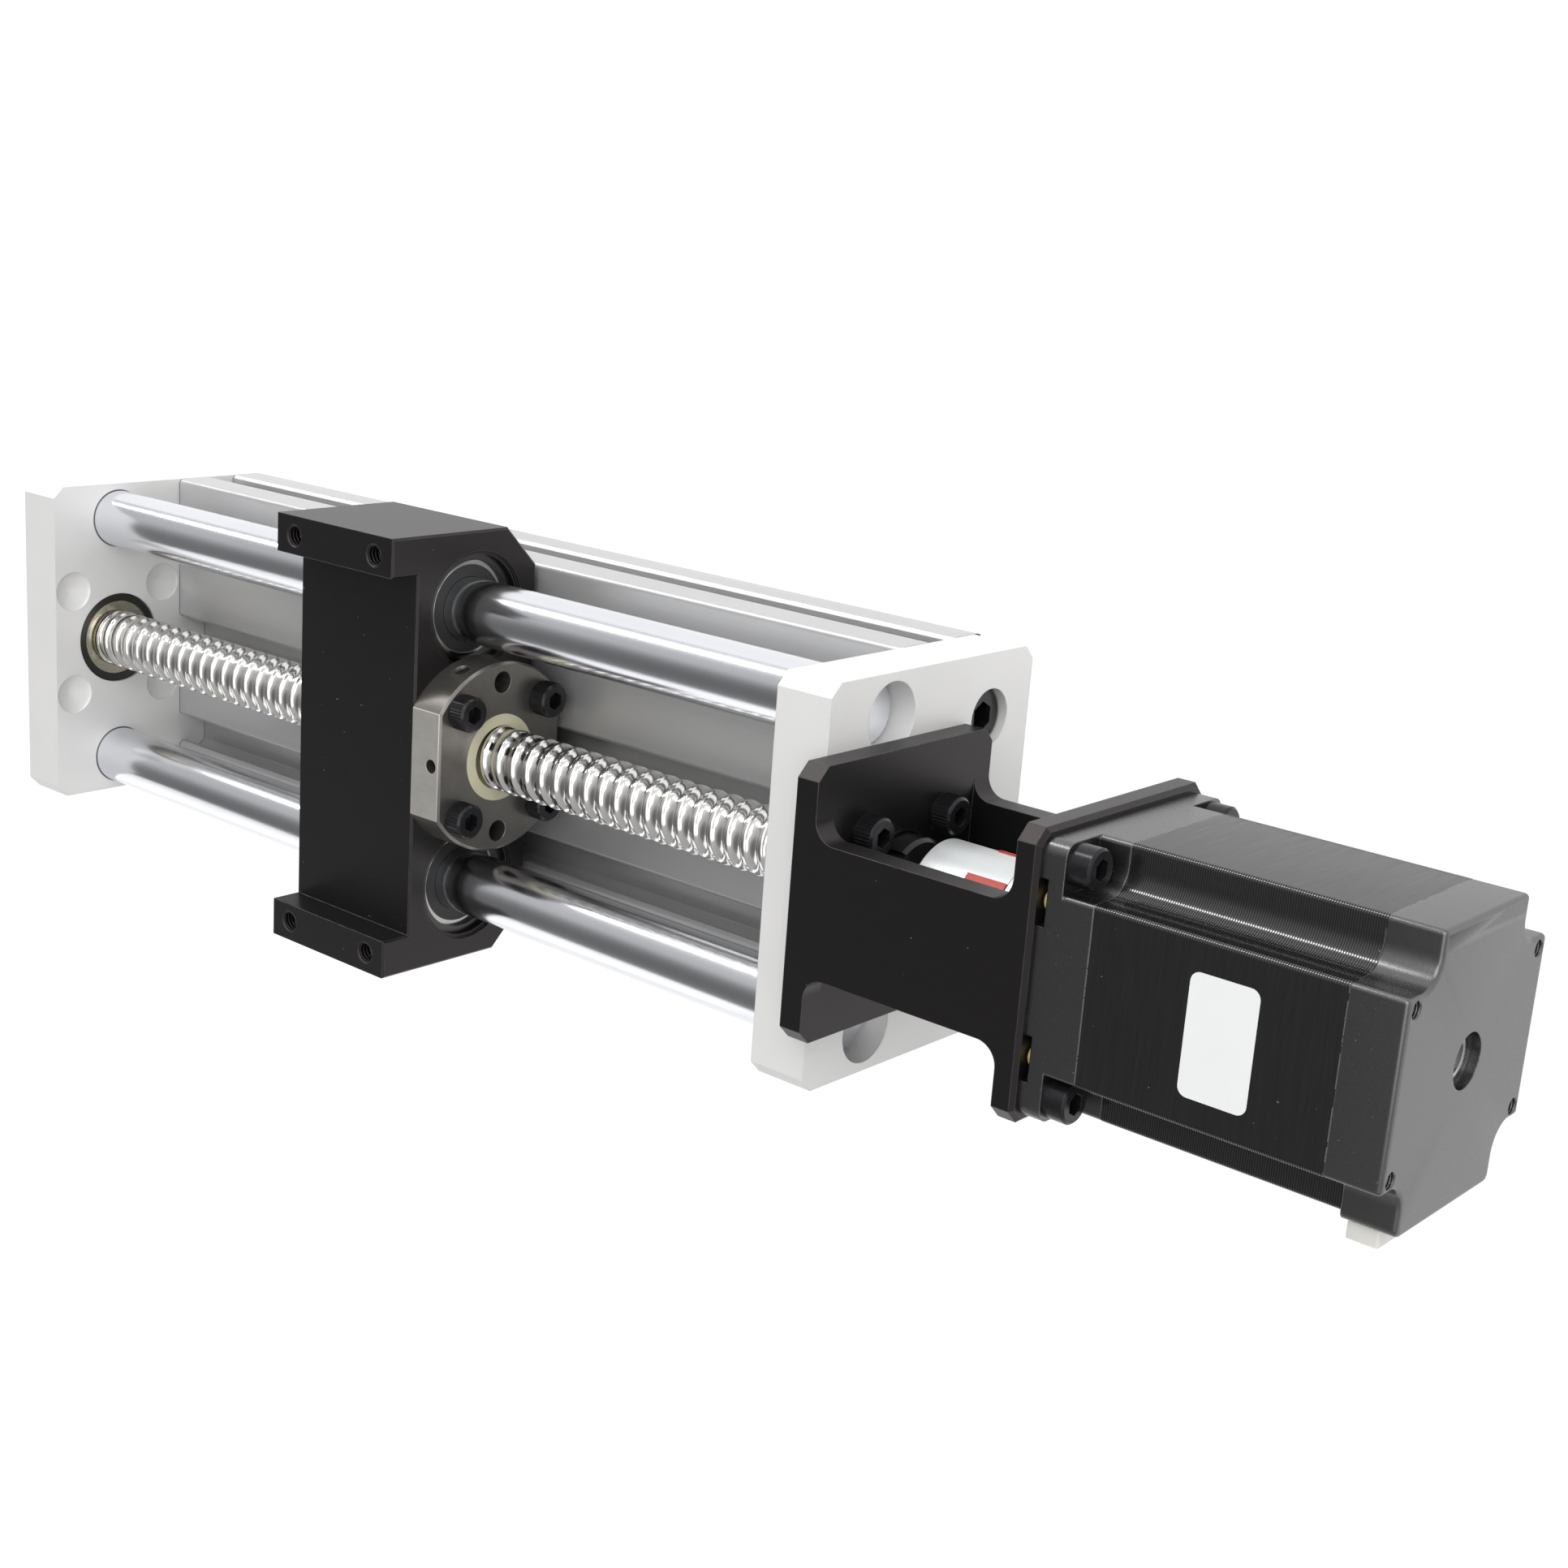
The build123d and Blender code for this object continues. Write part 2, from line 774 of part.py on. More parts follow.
def coupling_hub(root_face, back_face, facing, bore, first_jaw):
    """Hub turned from the bar, with jaws that reach across the spider towards the other hub."""
    with BuildPart() as hub:
        add(
            plain_ring(
                min(root_face, back_face),
                max(root_face, back_face),
                bore / 2 + press_clearance,
                coupling_diameter / 2,
            )
        )
        outer_rim = hub.edges().filter_by(GeomType.CIRCLE).filter_by(
            lambda edge: abs(edge.radius - coupling_diameter / 2) < same_place
            and abs(edge.center().X - back_face) < same_place
        )
        chamfer(outer_rim, hub_chamfer)
        for index in range(jaw_count):
            with BuildSketch(axis_station(root_face)):
                sector(
                    jaw_inner_diameter / 2,
                    coupling_diameter / 2,
                    first_jaw + index * 360 / jaw_count,
                    jaw_angle,
                )
            extrude(amount=facing * (spider_width - spider_side_clearance))
        screw_x = (root_face + back_face) / 2
        with Locations(
            Plane(
                origin=(screw_x, 0, axis_height),
                x_dir=(1, 0, 0),
                z_dir=(
                    0,
                    math.cos(math.radians(hub_screw_angle)),
                    math.sin(math.radians(hub_screw_angle)),
                ),
            )
        ):
            Cylinder(
                hub_screw_diameter / 2,
                coupling_diameter,
                align=(Align.CENTER, Align.CENTER, Align.MIN),
                mode=Mode.SUBTRACT,
            )
    return hub.part


jaw_pitch = 180 / jaw_count
save(
    coupling_hub(screw_hub_face, coupling_start, 1, drive_diameter, jaw_phase),
    "coupling_hub_screw",
)
save(
    coupling_hub(motor_hub_face, coupling_end, -1, motor_shaft_diameter, jaw_phase + jaw_pitch),
    "coupling_hub_motor",
)

with BuildPart() as coupling_spider:
    spider_start = screw_hub_face + spider_side_clearance
    with BuildSketch(axis_station(spider_start)):
        Circle(spider_ring_outer / 2)
        Circle(spider_ring_inner / 2, mode=Mode.SUBTRACT)
        for index in range(2 * jaw_count):
            sector(
                spider_ring_inner / 2 + spider_leg_overlap,
                coupling_diameter / 2 + spider_leg_rise,
                jaw_phase + jaw_pitch / 2 + index * jaw_pitch,
                spider_leg_angle,
            )
    extrude(amount=spider_width - 2 * spider_side_clearance)
save(coupling_spider.part, "coupling_spider")

with BuildPart() as coupling_set_screws:
    for hub_x in ((screw_hub_face + coupling_start) / 2, (motor_hub_face + coupling_end) / 2):
        screw_plane = Plane(
            origin=(hub_x, 0, axis_height),
            x_dir=(1, 0, 0),
            z_dir=(
                0,
                math.cos(math.radians(hub_screw_angle)),
                math.sin(math.radians(hub_screw_angle)),
            ),
        )
        set_screw_foot = drive_diameter / 2 + press_clearance
        set_screw_length = coupling_diameter / 2 - set_screw_foot - set_screw_recess
        with BuildSketch(screw_plane.offset(set_screw_foot)):
            Circle(hub_screw_diameter / 2 - press_clearance)
        extrude(amount=set_screw_length)
        with BuildSketch(screw_plane.offset(set_screw_foot + set_screw_length)):
            RegularPolygon(set_screw_hex / 2, 6, major_radius=False)
        extrude(amount=-set_screw_hex_depth, mode=Mode.SUBTRACT)
save(coupling_set_screws.part, "coupling_set_screws")


# Motor: the covers and the lamination stack share one outline with a notch at each corner
def motor_outline():
    """Square with rounded corner notches, in the current sketch."""
    Rectangle(motor_size, motor_size)
    for side_y in (-1, 1):
        for side_z in (-1, 1):
            with Locations(
                (
                    side_y * (motor_size - motor_notch_y) / 2,
                    side_z * (motor_size - motor_notch_z) / 2,
                )
            ):
                Rectangle(motor_notch_y, motor_notch_z, mode=Mode.SUBTRACT)


def notch_edges(part):
    """Lengthwise edges at the bottom of the corner notches."""
    return part.edges().filter_by(Axis.X).filter_by(
        lambda edge: abs(abs(edge.center().Y) - motor_flat_y / 2) < same_place
        and abs(edge.center().Z - axis_height) < motor_size / 2 - same_place
    )


def land_edges(part):
    """Lengthwise edges where the flat sides end at the corner notches."""
    return part.edges().filter_by(Axis.X).filter_by(
        lambda edge: max(abs(edge.center().Y), abs(edge.center().Z - axis_height))
        > motor_size / 2 - same_place
    )


tie_places = [
    (side_y * tie_screw_y, side_z * tie_screw_z) for side_y in (-1, 1) for side_z in (-1, 1)
]
corner_places = [
    (side_y * motor_hole_distance / 2, side_z * motor_hole_distance / 2)
    for side_y in (-1, 1)
    for side_z in (-1, 1)
]
cover_cavity = motor_end_turn + motor_end_turn_clearance

with BuildPart() as motor_front_cover_part:
    with BuildSketch(axis_station(motor_face + motor_flange)):
        motor_outline()
    extrude(amount=motor_front_cover - motor_flange)
    fillet(notch_edges(motor_front_cover_part), motor_notch_radius)
    fillet(land_edges(motor_front_cover_part), motor_edge_radius)
    with BuildSketch(axis_station(motor_face)):
        RectangleRounded(motor_size, motor_size, motor_corner_radius)
    extrude(amount=motor_flange)
    with BuildSketch(axis_station(motor_face)):
        Circle(motor_pilot_diameter / 2)
    extrude(amount=-motor_pilot_height)
    with BuildSketch(axis_station(motor_face)):
        for side_y, side_z in tie_places:
            with Locations((side_y, math.copysign(motor_size / 2, side_z))):
                Rectangle(tie_pocket_width, 2 * tie_pocket_height)
    extrude(amount=tie_pocket_depth, mode=Mode.SUBTRACT)
    with BuildSketch(axis_station(motor_stator_start)):
        Circle(motor_slot_circle / 2)
        Circle(motor_bearing_boss / 2, mode=Mode.SUBTRACT)
    extrude(amount=-cover_cavity, mode=Mode.SUBTRACT)
    with Locations(axis_station(motor_stator_start)):
        CounterBoreHole(
            motor_shaft_diameter / 2 + motor_shaft_clearance,
            motor_bearing_outer / 2 + press_clearance,
            motor_bearing_recess + motor_bearing_width,
            motor_front_cover + motor_pilot_height,
        )
        with Locations(*tie_places):
            Hole(tie_screw_diameter / 2 + tie_screw_clearance, motor_front_cover)
        with Locations(*corner_places):
            Hole(m5_thread / 2 + hole_clearance, motor_front_cover)
save(motor_front_cover_part.part, "motor_front_cover")

with BuildPart() as motor_stator:
    with BuildSketch(axis_station(motor_stator_start)):
        motor_outline()
        Circle(motor_slot_circle / 2, mode=Mode.SUBTRACT)
        with PolarLocations((motor_slot_circle + motor_bore) / 4, motor_pole_count):
            Rectangle((motor_slot_circle - motor_bore) / 2 + motor_pole_root, motor_pole_width)
        for index in range(motor_pole_count):
            sector(
                motor_bore / 2,
                motor_bore / 2 + motor_shoe_thickness,
                index * 360 / motor_pole_count,
                motor_shoe_angle,
            )
        Circle(motor_bore / 2, mode=Mode.SUBTRACT)
        with Locations(*tie_places):
            Circle(tie_screw_diameter / 2 + tie_screw_clearance, mode=Mode.SUBTRACT)
    extrude(amount=motor_stator_end - motor_stator_start)
    fillet(notch_edges(motor_stator), motor_notch_radius)
    fillet(land_edges(motor_stator), motor_edge_radius)
save(motor_stator.part, "motor_stator")

# One coil round each pole, reaching past both ends of the laminations
coil_start = motor_stator_start - motor_end_turn
coil_end = motor_stator_end + motor_end_turn
coil_inner = motor_bore / 2 + motor_shoe_thickness + motor_coil_shoe_gap
coil_outer = motor_slot_circle / 2 - motor_coil_wall_gap
coil_half = motor_pole_width / 2 + motor_coil_side_gap
with BuildPart() as motor_coils:
    for index in range(motor_pole_count):
        angle = math.radians(index * 360 / motor_pole_count)
        pole_plane = Plane(
            origin=(0, 0, axis_height),
            x_dir=(1, 0, 0),
            z_dir=(0, math.cos(angle), math.sin(angle)),
        )
        with BuildSketch(pole_plane.offset(coil_inner)):
            with Locations(((coil_start + coil_end) / 2, 0)):
                Rectangle(coil_end - coil_start, 2 * (coil_half + motor_coil_thickness))
                Rectangle(
                    motor_stator_end - motor_stator_start + 2 * motor_coil_side_gap,
                    2 * coil_half,
                    mode=Mode.SUBTRACT,
                )
        extrude(amount=coil_outer - coil_inner)
save(motor_coils.part, "motor_coils")

with BuildPart() as motor_rear_cover_part:
    with BuildSketch(axis_station(motor_stator_end)):
        motor_outline()
        with Locations((-motor_size / 2 - motor_lug_drop, 0)):
            Rectangle(
                motor_notch_y + motor_lug_drop,
                2 * motor_lug_half_width,
                align=(Align.MIN, Align.CENTER),
            )
    extrude(amount=motor_rear_cover)
    fillet(notch_edges(motor_rear_cover_part), motor_notch_radius)
    fillet(
        land_edges(motor_rear_cover_part).filter_by(lambda edge: edge.center().Y < -motor_size / 2),
        motor_lug_radius,
    )
    rear_rim = motor_rear_cover_part.faces().sort_by(Axis.X)[-1].outer_wire().edges()
    fillet(land_edges(motor_rear_cover_part) + rear_rim, motor_edge_radius)
    with BuildSketch(axis_station(motor_stator_end)):
        Circle(motor_slot_circle / 2)
        Circle(motor_bearing_boss / 2, mode=Mode.SUBTRACT)
    extrude(amount=cover_cavity, mode=Mode.SUBTRACT)
    with Locations(axis_station(motor_stator_end, -1)):
        CounterBoreHole(
            motor_rear_hole / 2,
            motor_bearing_outer / 2 + press_clearance,
            motor_bearing_recess + motor_bearing_width,
            motor_rear_cover,
        )
    with Locations(axis_station(motor_end)):
        with Locations(*tie_places):
            CounterSinkHole(
                tie_screw_diameter / 2 + tie_screw_clearance,
                tie_screw_diameter / 2 + tie_screw_clearance + tie_hole_chamfer,
                motor_rear_cover,
                90,
            )
    connector_x = motor_stator_end + connector_setback
    with BuildSketch(Plane.XZ.offset(motor_size / 2 + motor_lug_drop)):
        with Locations((connector_x, axis_height + connector_offset)):
            Rectangle(connector_depth + 2 * press_clearance, connector_width + 2 * press_clearance)
    extrude(amount=-(connector_height - connector_drop), mode=Mode.SUBTRACT)
save(motor_rear_cover_part.part, "motor_rear_cover")

# Connector shell, open downwards, and its pins
shell_bottom = motor_size / 2 + motor_lug_drop + connector_drop
connector_plane = Plane(
    origin=(connector_x, -shell_bottom, axis_height + connector_offset),
    x_dir=(1, 0, 0),
    z_dir=(0, -1, 0),
)
with BuildPart() as motor_connector:
    with BuildSketch(connector_plane):
        RectangleRounded(connector_depth, connector_width, connector_corner_radius)
    extrude(amount=-connector_height)
    with BuildSketch(connector_plane):
        Rectangle(connector_depth - 2 * connector_wall, connector_width - 2 * connector_wall)
    extrude(amount=-(connector_height - connector_floor), mode=Mode.SUBTRACT)
save(motor_connector.part, "motor_connector")

with BuildPart() as motor_connector_pins:
    with BuildSketch(connector_plane.offset(-(connector_height - connector_floor))):
        with GridLocations(1, connector_pin_pitch, 1, connector_pins):
            Rectangle(connector_pin_size, connector_pin_size)
    extrude(amount=connector_pin_rise)
save(motor_connector_pins.part, "motor_connector_pins")

# Long screws that hold the motor together, heads in pockets of the flange, ends in the rear cover
tie_seat = motor_face + tie_pocket_depth
with BuildPart() as motor_tie_screws:
    with BuildSketch(axis_station(tie_seat)):
        with Locations(*tie_places):
            Circle(tie_head_diameter / 2)
    extrude(amount=-tie_head_height)
    fillet(motor_tie_screws.faces().group_by(Axis.X)[0].edges(), tie_head_round)
    with BuildSketch(axis_station(tie_seat)):
        with Locations(*tie_places):
            Circle(tie_screw_diameter / 2)
    extrude(amount=motor_end - tie_screw_setback - tie_seat)
    with BuildSketch(axis_station(tie_seat - tie_head_height)):
        with Locations(*tie_places):
            Rectangle(tie_cross_length, tie_cross_width)
            Rectangle(tie_cross_width, tie_cross_length)
    extrude(amount=tie_cross_depth, mode=Mode.SUBTRACT)
save(motor_tie_screws.part, "motor_tie_screws")

motor_mount_screws = socket_screws(
    axis_station(motor_face + motor_flange),
    corner_places,
    m5_head,
    m5_head_height,
    m5_hex,
    m5_thread,
    m5_core,
    motor_flange,
    bracket_motor_plate,
)
save(motor_mount_screws, "motor_mount_screws")

# Motor shaft, rotor and bearings
motor_shaft_radius = motor_shaft_diameter / 2
with BuildPart() as motor_shaft:
    with BuildSketch(axis_station(motor_face - motor_shaft_reach)):
        Circle(motor_shaft_radius)
    extrude(amount=motor_shaft_reach + motor_length - motor_shaft_tail)
    chamfer(motor_shaft.edges().filter_by(GeomType.CIRCLE), shaft_chamfer)
save(motor_shaft.part, "motor_shaft")

save(
    plain_ring(
        motor_stator_start + motor_rotor_gap,
        motor_stator_end - motor_rotor_gap,
        motor_shaft_radius + press_clearance,
        motor_bore / 2 - motor_air_gap,
    ),
    "motor_rotor",
)

motor_bearing_pitch_radius = (motor_bearing_outer + motor_shaft_diameter) / 4
for name, start in (("front", motor_front_bearing), ("rear", motor_rear_bearing)):
    outer_ring = grooved_ring(
        start,
        motor_bearing_width,
        motor_bearing_outer_land / 2,
        motor_bearing_outer / 2,
        motor_bearing_outer / 2,
        motor_bearing_ball,
        motor_bearing_pitch_radius,
    )
    save(outer_ring, f"motor_{name}_bearing_outer_ring")
    inner_ring = grooved_ring(
        start,
        motor_bearing_width,
        motor_shaft_radius + press_clearance,
        motor_bearing_inner_land / 2,
        motor_shaft_radius + press_clearance,
        motor_bearing_ball,
        motor_bearing_pitch_radius,
    )
    save(inner_ring, f"motor_{name}_bearing_inner_ring")
    balls = ball_set(
        start,
        motor_bearing_width,
        motor_bearing_ball,
        bearing_balls,
        motor_bearing_pitch_radius,
        motor_bearing_cage_width,
    )
    save(balls, f"motor_{name}_bearing_balls")

# Carriage block: a deep channel section between two mounting lips
lip_inner = carriage_width / 2 - carriage_lip_width
recess_floor = carriage_top - carriage_recess_depth
with BuildPart() as carriage_block:
    with BuildSketch(station(carriage_start)):
        with BuildLine():
            Polyline(
                (0, carriage_underside),
                (carriage_width / 2 - carriage_bottom_chamfer, carriage_underside),
                (carriage_width / 2, carriage_underside + carriage_bottom_chamfer),
                (carriage_width / 2, carriage_top),
                (lip_inner, carriage_top),
                (lip_inner, recess_floor),
                (0, recess_floor),
            )
            mirror(about=Plane.YZ)
        make_face()
    extrude(amount=carriage_length)
    end_faces = carriage_block.faces().filter_by(Axis.X)
    chamfer(end_faces.edges(), carriage_edge_chamfer)
    with BuildSketch(axis_station(carriage_start)):
        Circle(nut_body_diameter / 2 + carriage_nut_clearance)
        with Locations((-rod_y, 0), (rod_y, 0)):
            Circle(linear_outer / 2 + press_clearance)
    extrude(amount=carriage_length, mode=Mode.SUBTRACT)
    for face_x, inward in ((carriage_start, 1), (carriage_end, -1)):
        with BuildSketch(axis_station(face_x)):
            with Locations((-rod_y, 0), (rod_y, 0)):
                Circle(bore_mouth_diameter / 2)
        extrude(amount=inward * bore_mouth_depth, mode=Mode.SUBTRACT)
    for groove_x, outward in ((linear_start, -1), (linear_end, 1)):
        with BuildSketch(axis_station(groove_x)):
            with Locations((-rod_y, 0), (rod_y, 0)):
                Circle(retaining_groove_diameter / 2)
        extrude(amount=outward * retaining_groove_width, mode=Mode.SUBTRACT)
    with Locations(Plane.XY.offset(carriage_top)):
        with Locations((carriage_position, 0)):
            with GridLocations(carriage_hole_distance_x, carriage_hole_distance_y, 2, 2):
                Hole(carriage_tap_diameter / 2, carriage_tap_depth)
    tap_mouths = carriage_block.edges().filter_by(GeomType.CIRCLE).filter_by(
        lambda edge: abs(edge.radius - carriage_tap_diameter / 2) < same_place
        and abs(edge.center().Z - carriage_top) < same_place
    )
    chamfer(tap_mouths, carriage_tap_chamfer)
    with Locations(axis_station(carriage_end)):
        with PolarLocations(nut_hole_circle_diameter / 2, 4, start_angle=45):
            Hole(m5_core / 2, m5_nut_engagement + thread_run_out)
save(carriage_block.part, "carriage_block")

# Linear ball bearings: steel shell, ball cage with its tracks, and an end seal at each end
shell_inner = linear_shell_inner / 2
cage_inner = rod_diameter / 2 + linear_cage_clearance
seal_inner = rod_diameter / 2 + linear_seal_clearance
for side, rod_place in (("left", rod_y), ("right", -rod_y)):
    with BuildPart() as linear_shell:
        add(
            turned_ring(
                linear_start,
                linear_end,
                shell_inner,
                linear_outer / 2,
                rod_place,
                linear_groove_depth,
            )
        )
        for groove_side in (-1, 1):
            groove_x = carriage_position + groove_side * linear_groove_pitch / 2
            add(
                plain_ring(
                    groove_x - linear_groove_width / 2,
                    groove_x + linear_groove_width / 2,
                    linear_outer / 2 - linear_groove_depth,
                    linear_outer / 2 + press_clearance,
                    rod_place,
                ),
                mode=Mode.SUBTRACT,
            )
    save(linear_shell.part, f"linear_bearing_{side}_shell")
    with BuildPart() as linear_cage:
        cage_start = linear_start + linear_seal_width
        cage_length = linear_length - 2 * linear_seal_width
        with BuildSketch(axis_station(cage_start)):
            with Locations((rod_place, 0)):
                Circle(shell_inner - press_clearance)
                Circle(cage_inner, mode=Mode.SUBTRACT)
                with PolarLocations(shell_inner, linear_track_count, start_angle=90):
                    Rectangle(2 * linear_track_depth, linear_track_width, mode=Mode.SUBTRACT)
        extrude(amount=cage_length)
    save(linear_cage.part, f"linear_bearing_{side}_cage")
    with BuildPart() as linear_seals:
        for start in (linear_start, linear_end - linear_seal_width):
            add(
                plain_ring(
                    start,
                    start + linear_seal_width,
                    seal_inner,
                    shell_inner - press_clearance,
                    rod_place,
                )
            )
    save(linear_seals.part, f"linear_bearing_{side}_seals")
    with BuildPart() as retaining_rings:
        for start in (linear_start - retaining_ring_thickness, linear_end):
            with BuildSketch(axis_station(start)):
                with Locations((rod_place, 0)):
                    Circle(retaining_groove_diameter / 2 - press_clearance)
                    Circle(retaining_ring_inner / 2, mode=Mode.SUBTRACT)
                with Locations((rod_place, -linear_outer / 2)):
                    Rectangle(retaining_ring_gap, retaining_ring_gap_depth, mode=Mode.SUBTRACT)
            extrude(amount=retaining_ring_thickness)
    save(retaining_rings.part, f"linear_bearing_{side}_retaining_rings")

# Ball nut: cylindrical body in the carriage, flange with two flats against its motor side
with BuildPart() as ball_nut:
    with BuildSketch(axis_station(carriage_end)):
        Circle(nut_flange_diameter / 2)
        Rectangle(nut_flange_diameter, nut_flange_flats, mode=Mode.INTERSECT)
    extrude(amount=nut_flange_thickness)
    chamfer(ball_nut.faces().sort_by(Axis.X)[-1].edges(), nut_edge_chamfer)
    with BuildSketch(axis_station(carriage_end)):
        Circle(nut_body_diameter / 2)
    extrude(amount=-(nut_length - nut_flange_thickness))
    chamfer(ball_nut.faces().sort_by(Axis.X)[0].edges(), nut_edge_chamfer)
    with BuildSketch(axis_station(nut_back)):
        Circle(screw_diameter / 2 + nut_bore_clearance)
    extrude(amount=nut_length, mode=Mode.SUBTRACT)
    for face_x, inward in ((nut_face, -1), (nut_back, 1)):
        with BuildSketch(axis_station(face_x)):
            Circle(nut_wiper_diameter / 2)
        extrude(amount=inward * nut_wiper_width, mode=Mode.SUBTRACT)
    with Locations(axis_station(nut_face)):
        with PolarLocations(nut_hole_circle_diameter / 2, 4, start_angle=45):
            Hole(nut_hole_diameter / 2, nut_flange_thickness)
        with PolarLocations(nut_hole_circle_diameter / 2, 2):
            Hole(nut_hole_diameter / 2, nut_flange_thickness)
    oil_x = carriage_end + nut_oil_hole_from_seat
    with Locations(Plane.XY.offset(axis_height + nut_flange_flats / 2)):
        with Locations((oil_x, 0)):
            Hole(nut_oil_hole / 2, nut_oil_hole_depth)
    plug_plane = Plane(
        origin=(carriage_end + nut_flange_thickness / 2, 0, axis_height),
        x_dir=(1, 0, 0),
        z_dir=(
            0,
            math.cos(math.radians(oil_plug_angle)),
            math.sin(math.radians(oil_plug_angle)),
        ),
    )
    with BuildSketch(plug_plane.offset(nut_flange_diameter / 2 - oil_plug_length)):
        Circle(oil_plug_diameter / 2 + press_clearance)
    extrude(amount=2 * oil_plug_length, mode=Mode.SUBTRACT)
save(ball_nut.part, "ball_nut")

with BuildPart() as oil_plug:
    with BuildSketch(plug_plane.offset(nut_flange_diameter / 2 - oil_plug_length)):
        Circle(oil_plug_diameter / 2)
    extrude(amount=oil_plug_length - oil_plug_recess)
save(oil_plug.part, "oil_plug")

with BuildPart() as nut_wipers:
    for start in (nut_back, nut_face - nut_wiper_width):
        add(
            plain_ring(
                start,
                start + nut_wiper_width,
                screw_diameter / 2 + nut_wiper_clearance,
                nut_wiper_diameter / 2 - press_clearance,
            )
        )
save(nut_wipers.part, "nut_wipers")

nut_screws = socket_screws(
    axis_station(nut_face),
    polar_places,
    m5_head,
    m5_head_height,
    m5_hex,
    m5_thread,
    m5_core,
    nut_flange_thickness,
    m5_nut_engagement,
)
save(nut_screws, "nut_screws")
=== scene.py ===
import json
import math

import bmesh
import bpy
from bpy.props import FloatProperty, FloatVectorProperty, IntProperty, PointerProperty
from mathutils import Matrix, Vector


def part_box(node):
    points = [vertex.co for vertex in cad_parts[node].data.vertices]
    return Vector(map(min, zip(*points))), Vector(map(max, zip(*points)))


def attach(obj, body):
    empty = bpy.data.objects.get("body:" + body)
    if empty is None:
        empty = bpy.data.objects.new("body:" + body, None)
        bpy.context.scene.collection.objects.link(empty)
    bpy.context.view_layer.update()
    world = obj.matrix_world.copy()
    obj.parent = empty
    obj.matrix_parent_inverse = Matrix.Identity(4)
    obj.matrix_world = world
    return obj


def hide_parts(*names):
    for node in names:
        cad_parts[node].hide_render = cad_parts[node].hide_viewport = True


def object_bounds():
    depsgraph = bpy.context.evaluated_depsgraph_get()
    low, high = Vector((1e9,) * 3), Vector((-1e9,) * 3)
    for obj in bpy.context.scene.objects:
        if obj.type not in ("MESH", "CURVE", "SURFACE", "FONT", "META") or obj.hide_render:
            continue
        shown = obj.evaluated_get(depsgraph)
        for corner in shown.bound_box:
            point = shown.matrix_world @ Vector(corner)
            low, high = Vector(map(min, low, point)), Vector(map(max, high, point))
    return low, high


bl_info = {
    "name": "Double shaft linear module",
    "version": (1, 0, 0),
    "blender": (4, 5, 0),
    "location": "3D View > Sidebar > Linear Module",
    "description": "Dresses a ball screw linear module: thread, laminations, knurls and finishes",
    "category": "Object",
}

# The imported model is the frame: every place below is read from it, in metres.
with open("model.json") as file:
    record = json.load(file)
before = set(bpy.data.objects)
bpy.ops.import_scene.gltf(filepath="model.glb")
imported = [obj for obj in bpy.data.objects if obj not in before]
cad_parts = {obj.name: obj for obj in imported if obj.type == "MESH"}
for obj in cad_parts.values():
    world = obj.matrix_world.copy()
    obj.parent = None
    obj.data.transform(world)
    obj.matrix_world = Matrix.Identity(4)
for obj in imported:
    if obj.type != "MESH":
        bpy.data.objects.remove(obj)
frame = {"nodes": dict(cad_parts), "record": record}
CAD_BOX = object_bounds()
NODES = frame["nodes"]
MM = 0.001
FULL_TURN = 2 * math.pi

# Points of a mesh nearer than this are one
WELD = 0.002 * MM
# How far the points of the screw's barrel may lie inside its radius, and how far inside its ends
# the thread stops
BARREL_SLACK = 0.02 * MM
# A face whose normal has less than this along the axis is round the barrel, not at its ends
LENGTHWISE = 0.5
# Rays that round an edge in the finishes
BEVEL_SAMPLES = 6
# Widths in millimetres of what the finishes paint: the painted shade in the gap between base and
# plate, the painted shade round a rod where it enters a plate and how deep it goes into the plate,
# the bare line where the motor's covers meet its sheets, and how deep the nut's flats stay bright
JOINT_SHADE_WIDTH = 0.22
ROD_SHADE_WIDTH = 0.28
ROD_SHADE_DEPTH = 0.3
SEAM_WIDTH = 0.16
FLAT_DEPTH = 0.15
# Points over a quarter turn in the notch's outline and in the label's corner
NOTCH_STEPS = 12
CORNER_STEPS = 6
# The section of a sheet's edge: its root below the lacquer in millimetres, and the shares of the
# pitch that its rim and its root take
SHEET_ROOT = 0.2
SHEET_RIM_SHARE = 0.5
SHEET_ROOT_SHARE = 0.6
# Knurl ridges: the share of the spacing that one fills and its radius for that width, and in
# millimetres what they leave free of the head's height, how far they sink into the head and how
# far their middle lies below the head's
KNURL_SHARE = 0.62
KNURL_RADIUS_SHARE = 0.58
KNURL_END_GAP = 1.0
KNURL_SINK = 0.05
KNURL_SHIFT = 0.1
# Hole threads in millimetres: pitch, radius of the ridge, how far from the hole's floor the ridge
# starts and how much shorter than the hole it is, with the points of a helix's turn and section
CARRIAGE_THREAD = {"pitch": 1.0, "ridge": 0.22, "start": 0.3, "short": 0.5}
COVER_THREAD = {"pitch": 0.5, "ridge": 0.12, "start": -0.1, "short": 0.3}
HELIX_STEPS = 20
RIDGE_STEPS = 6
# Label in millimetres: its thickness, and how far its middle is from the motor's axis along Y
LABEL_THICKNESS = 0.09
LABEL_ASIDE = -0.2
# The floor lies this many millimetres under the base
FLOOR_GAP = 0.05

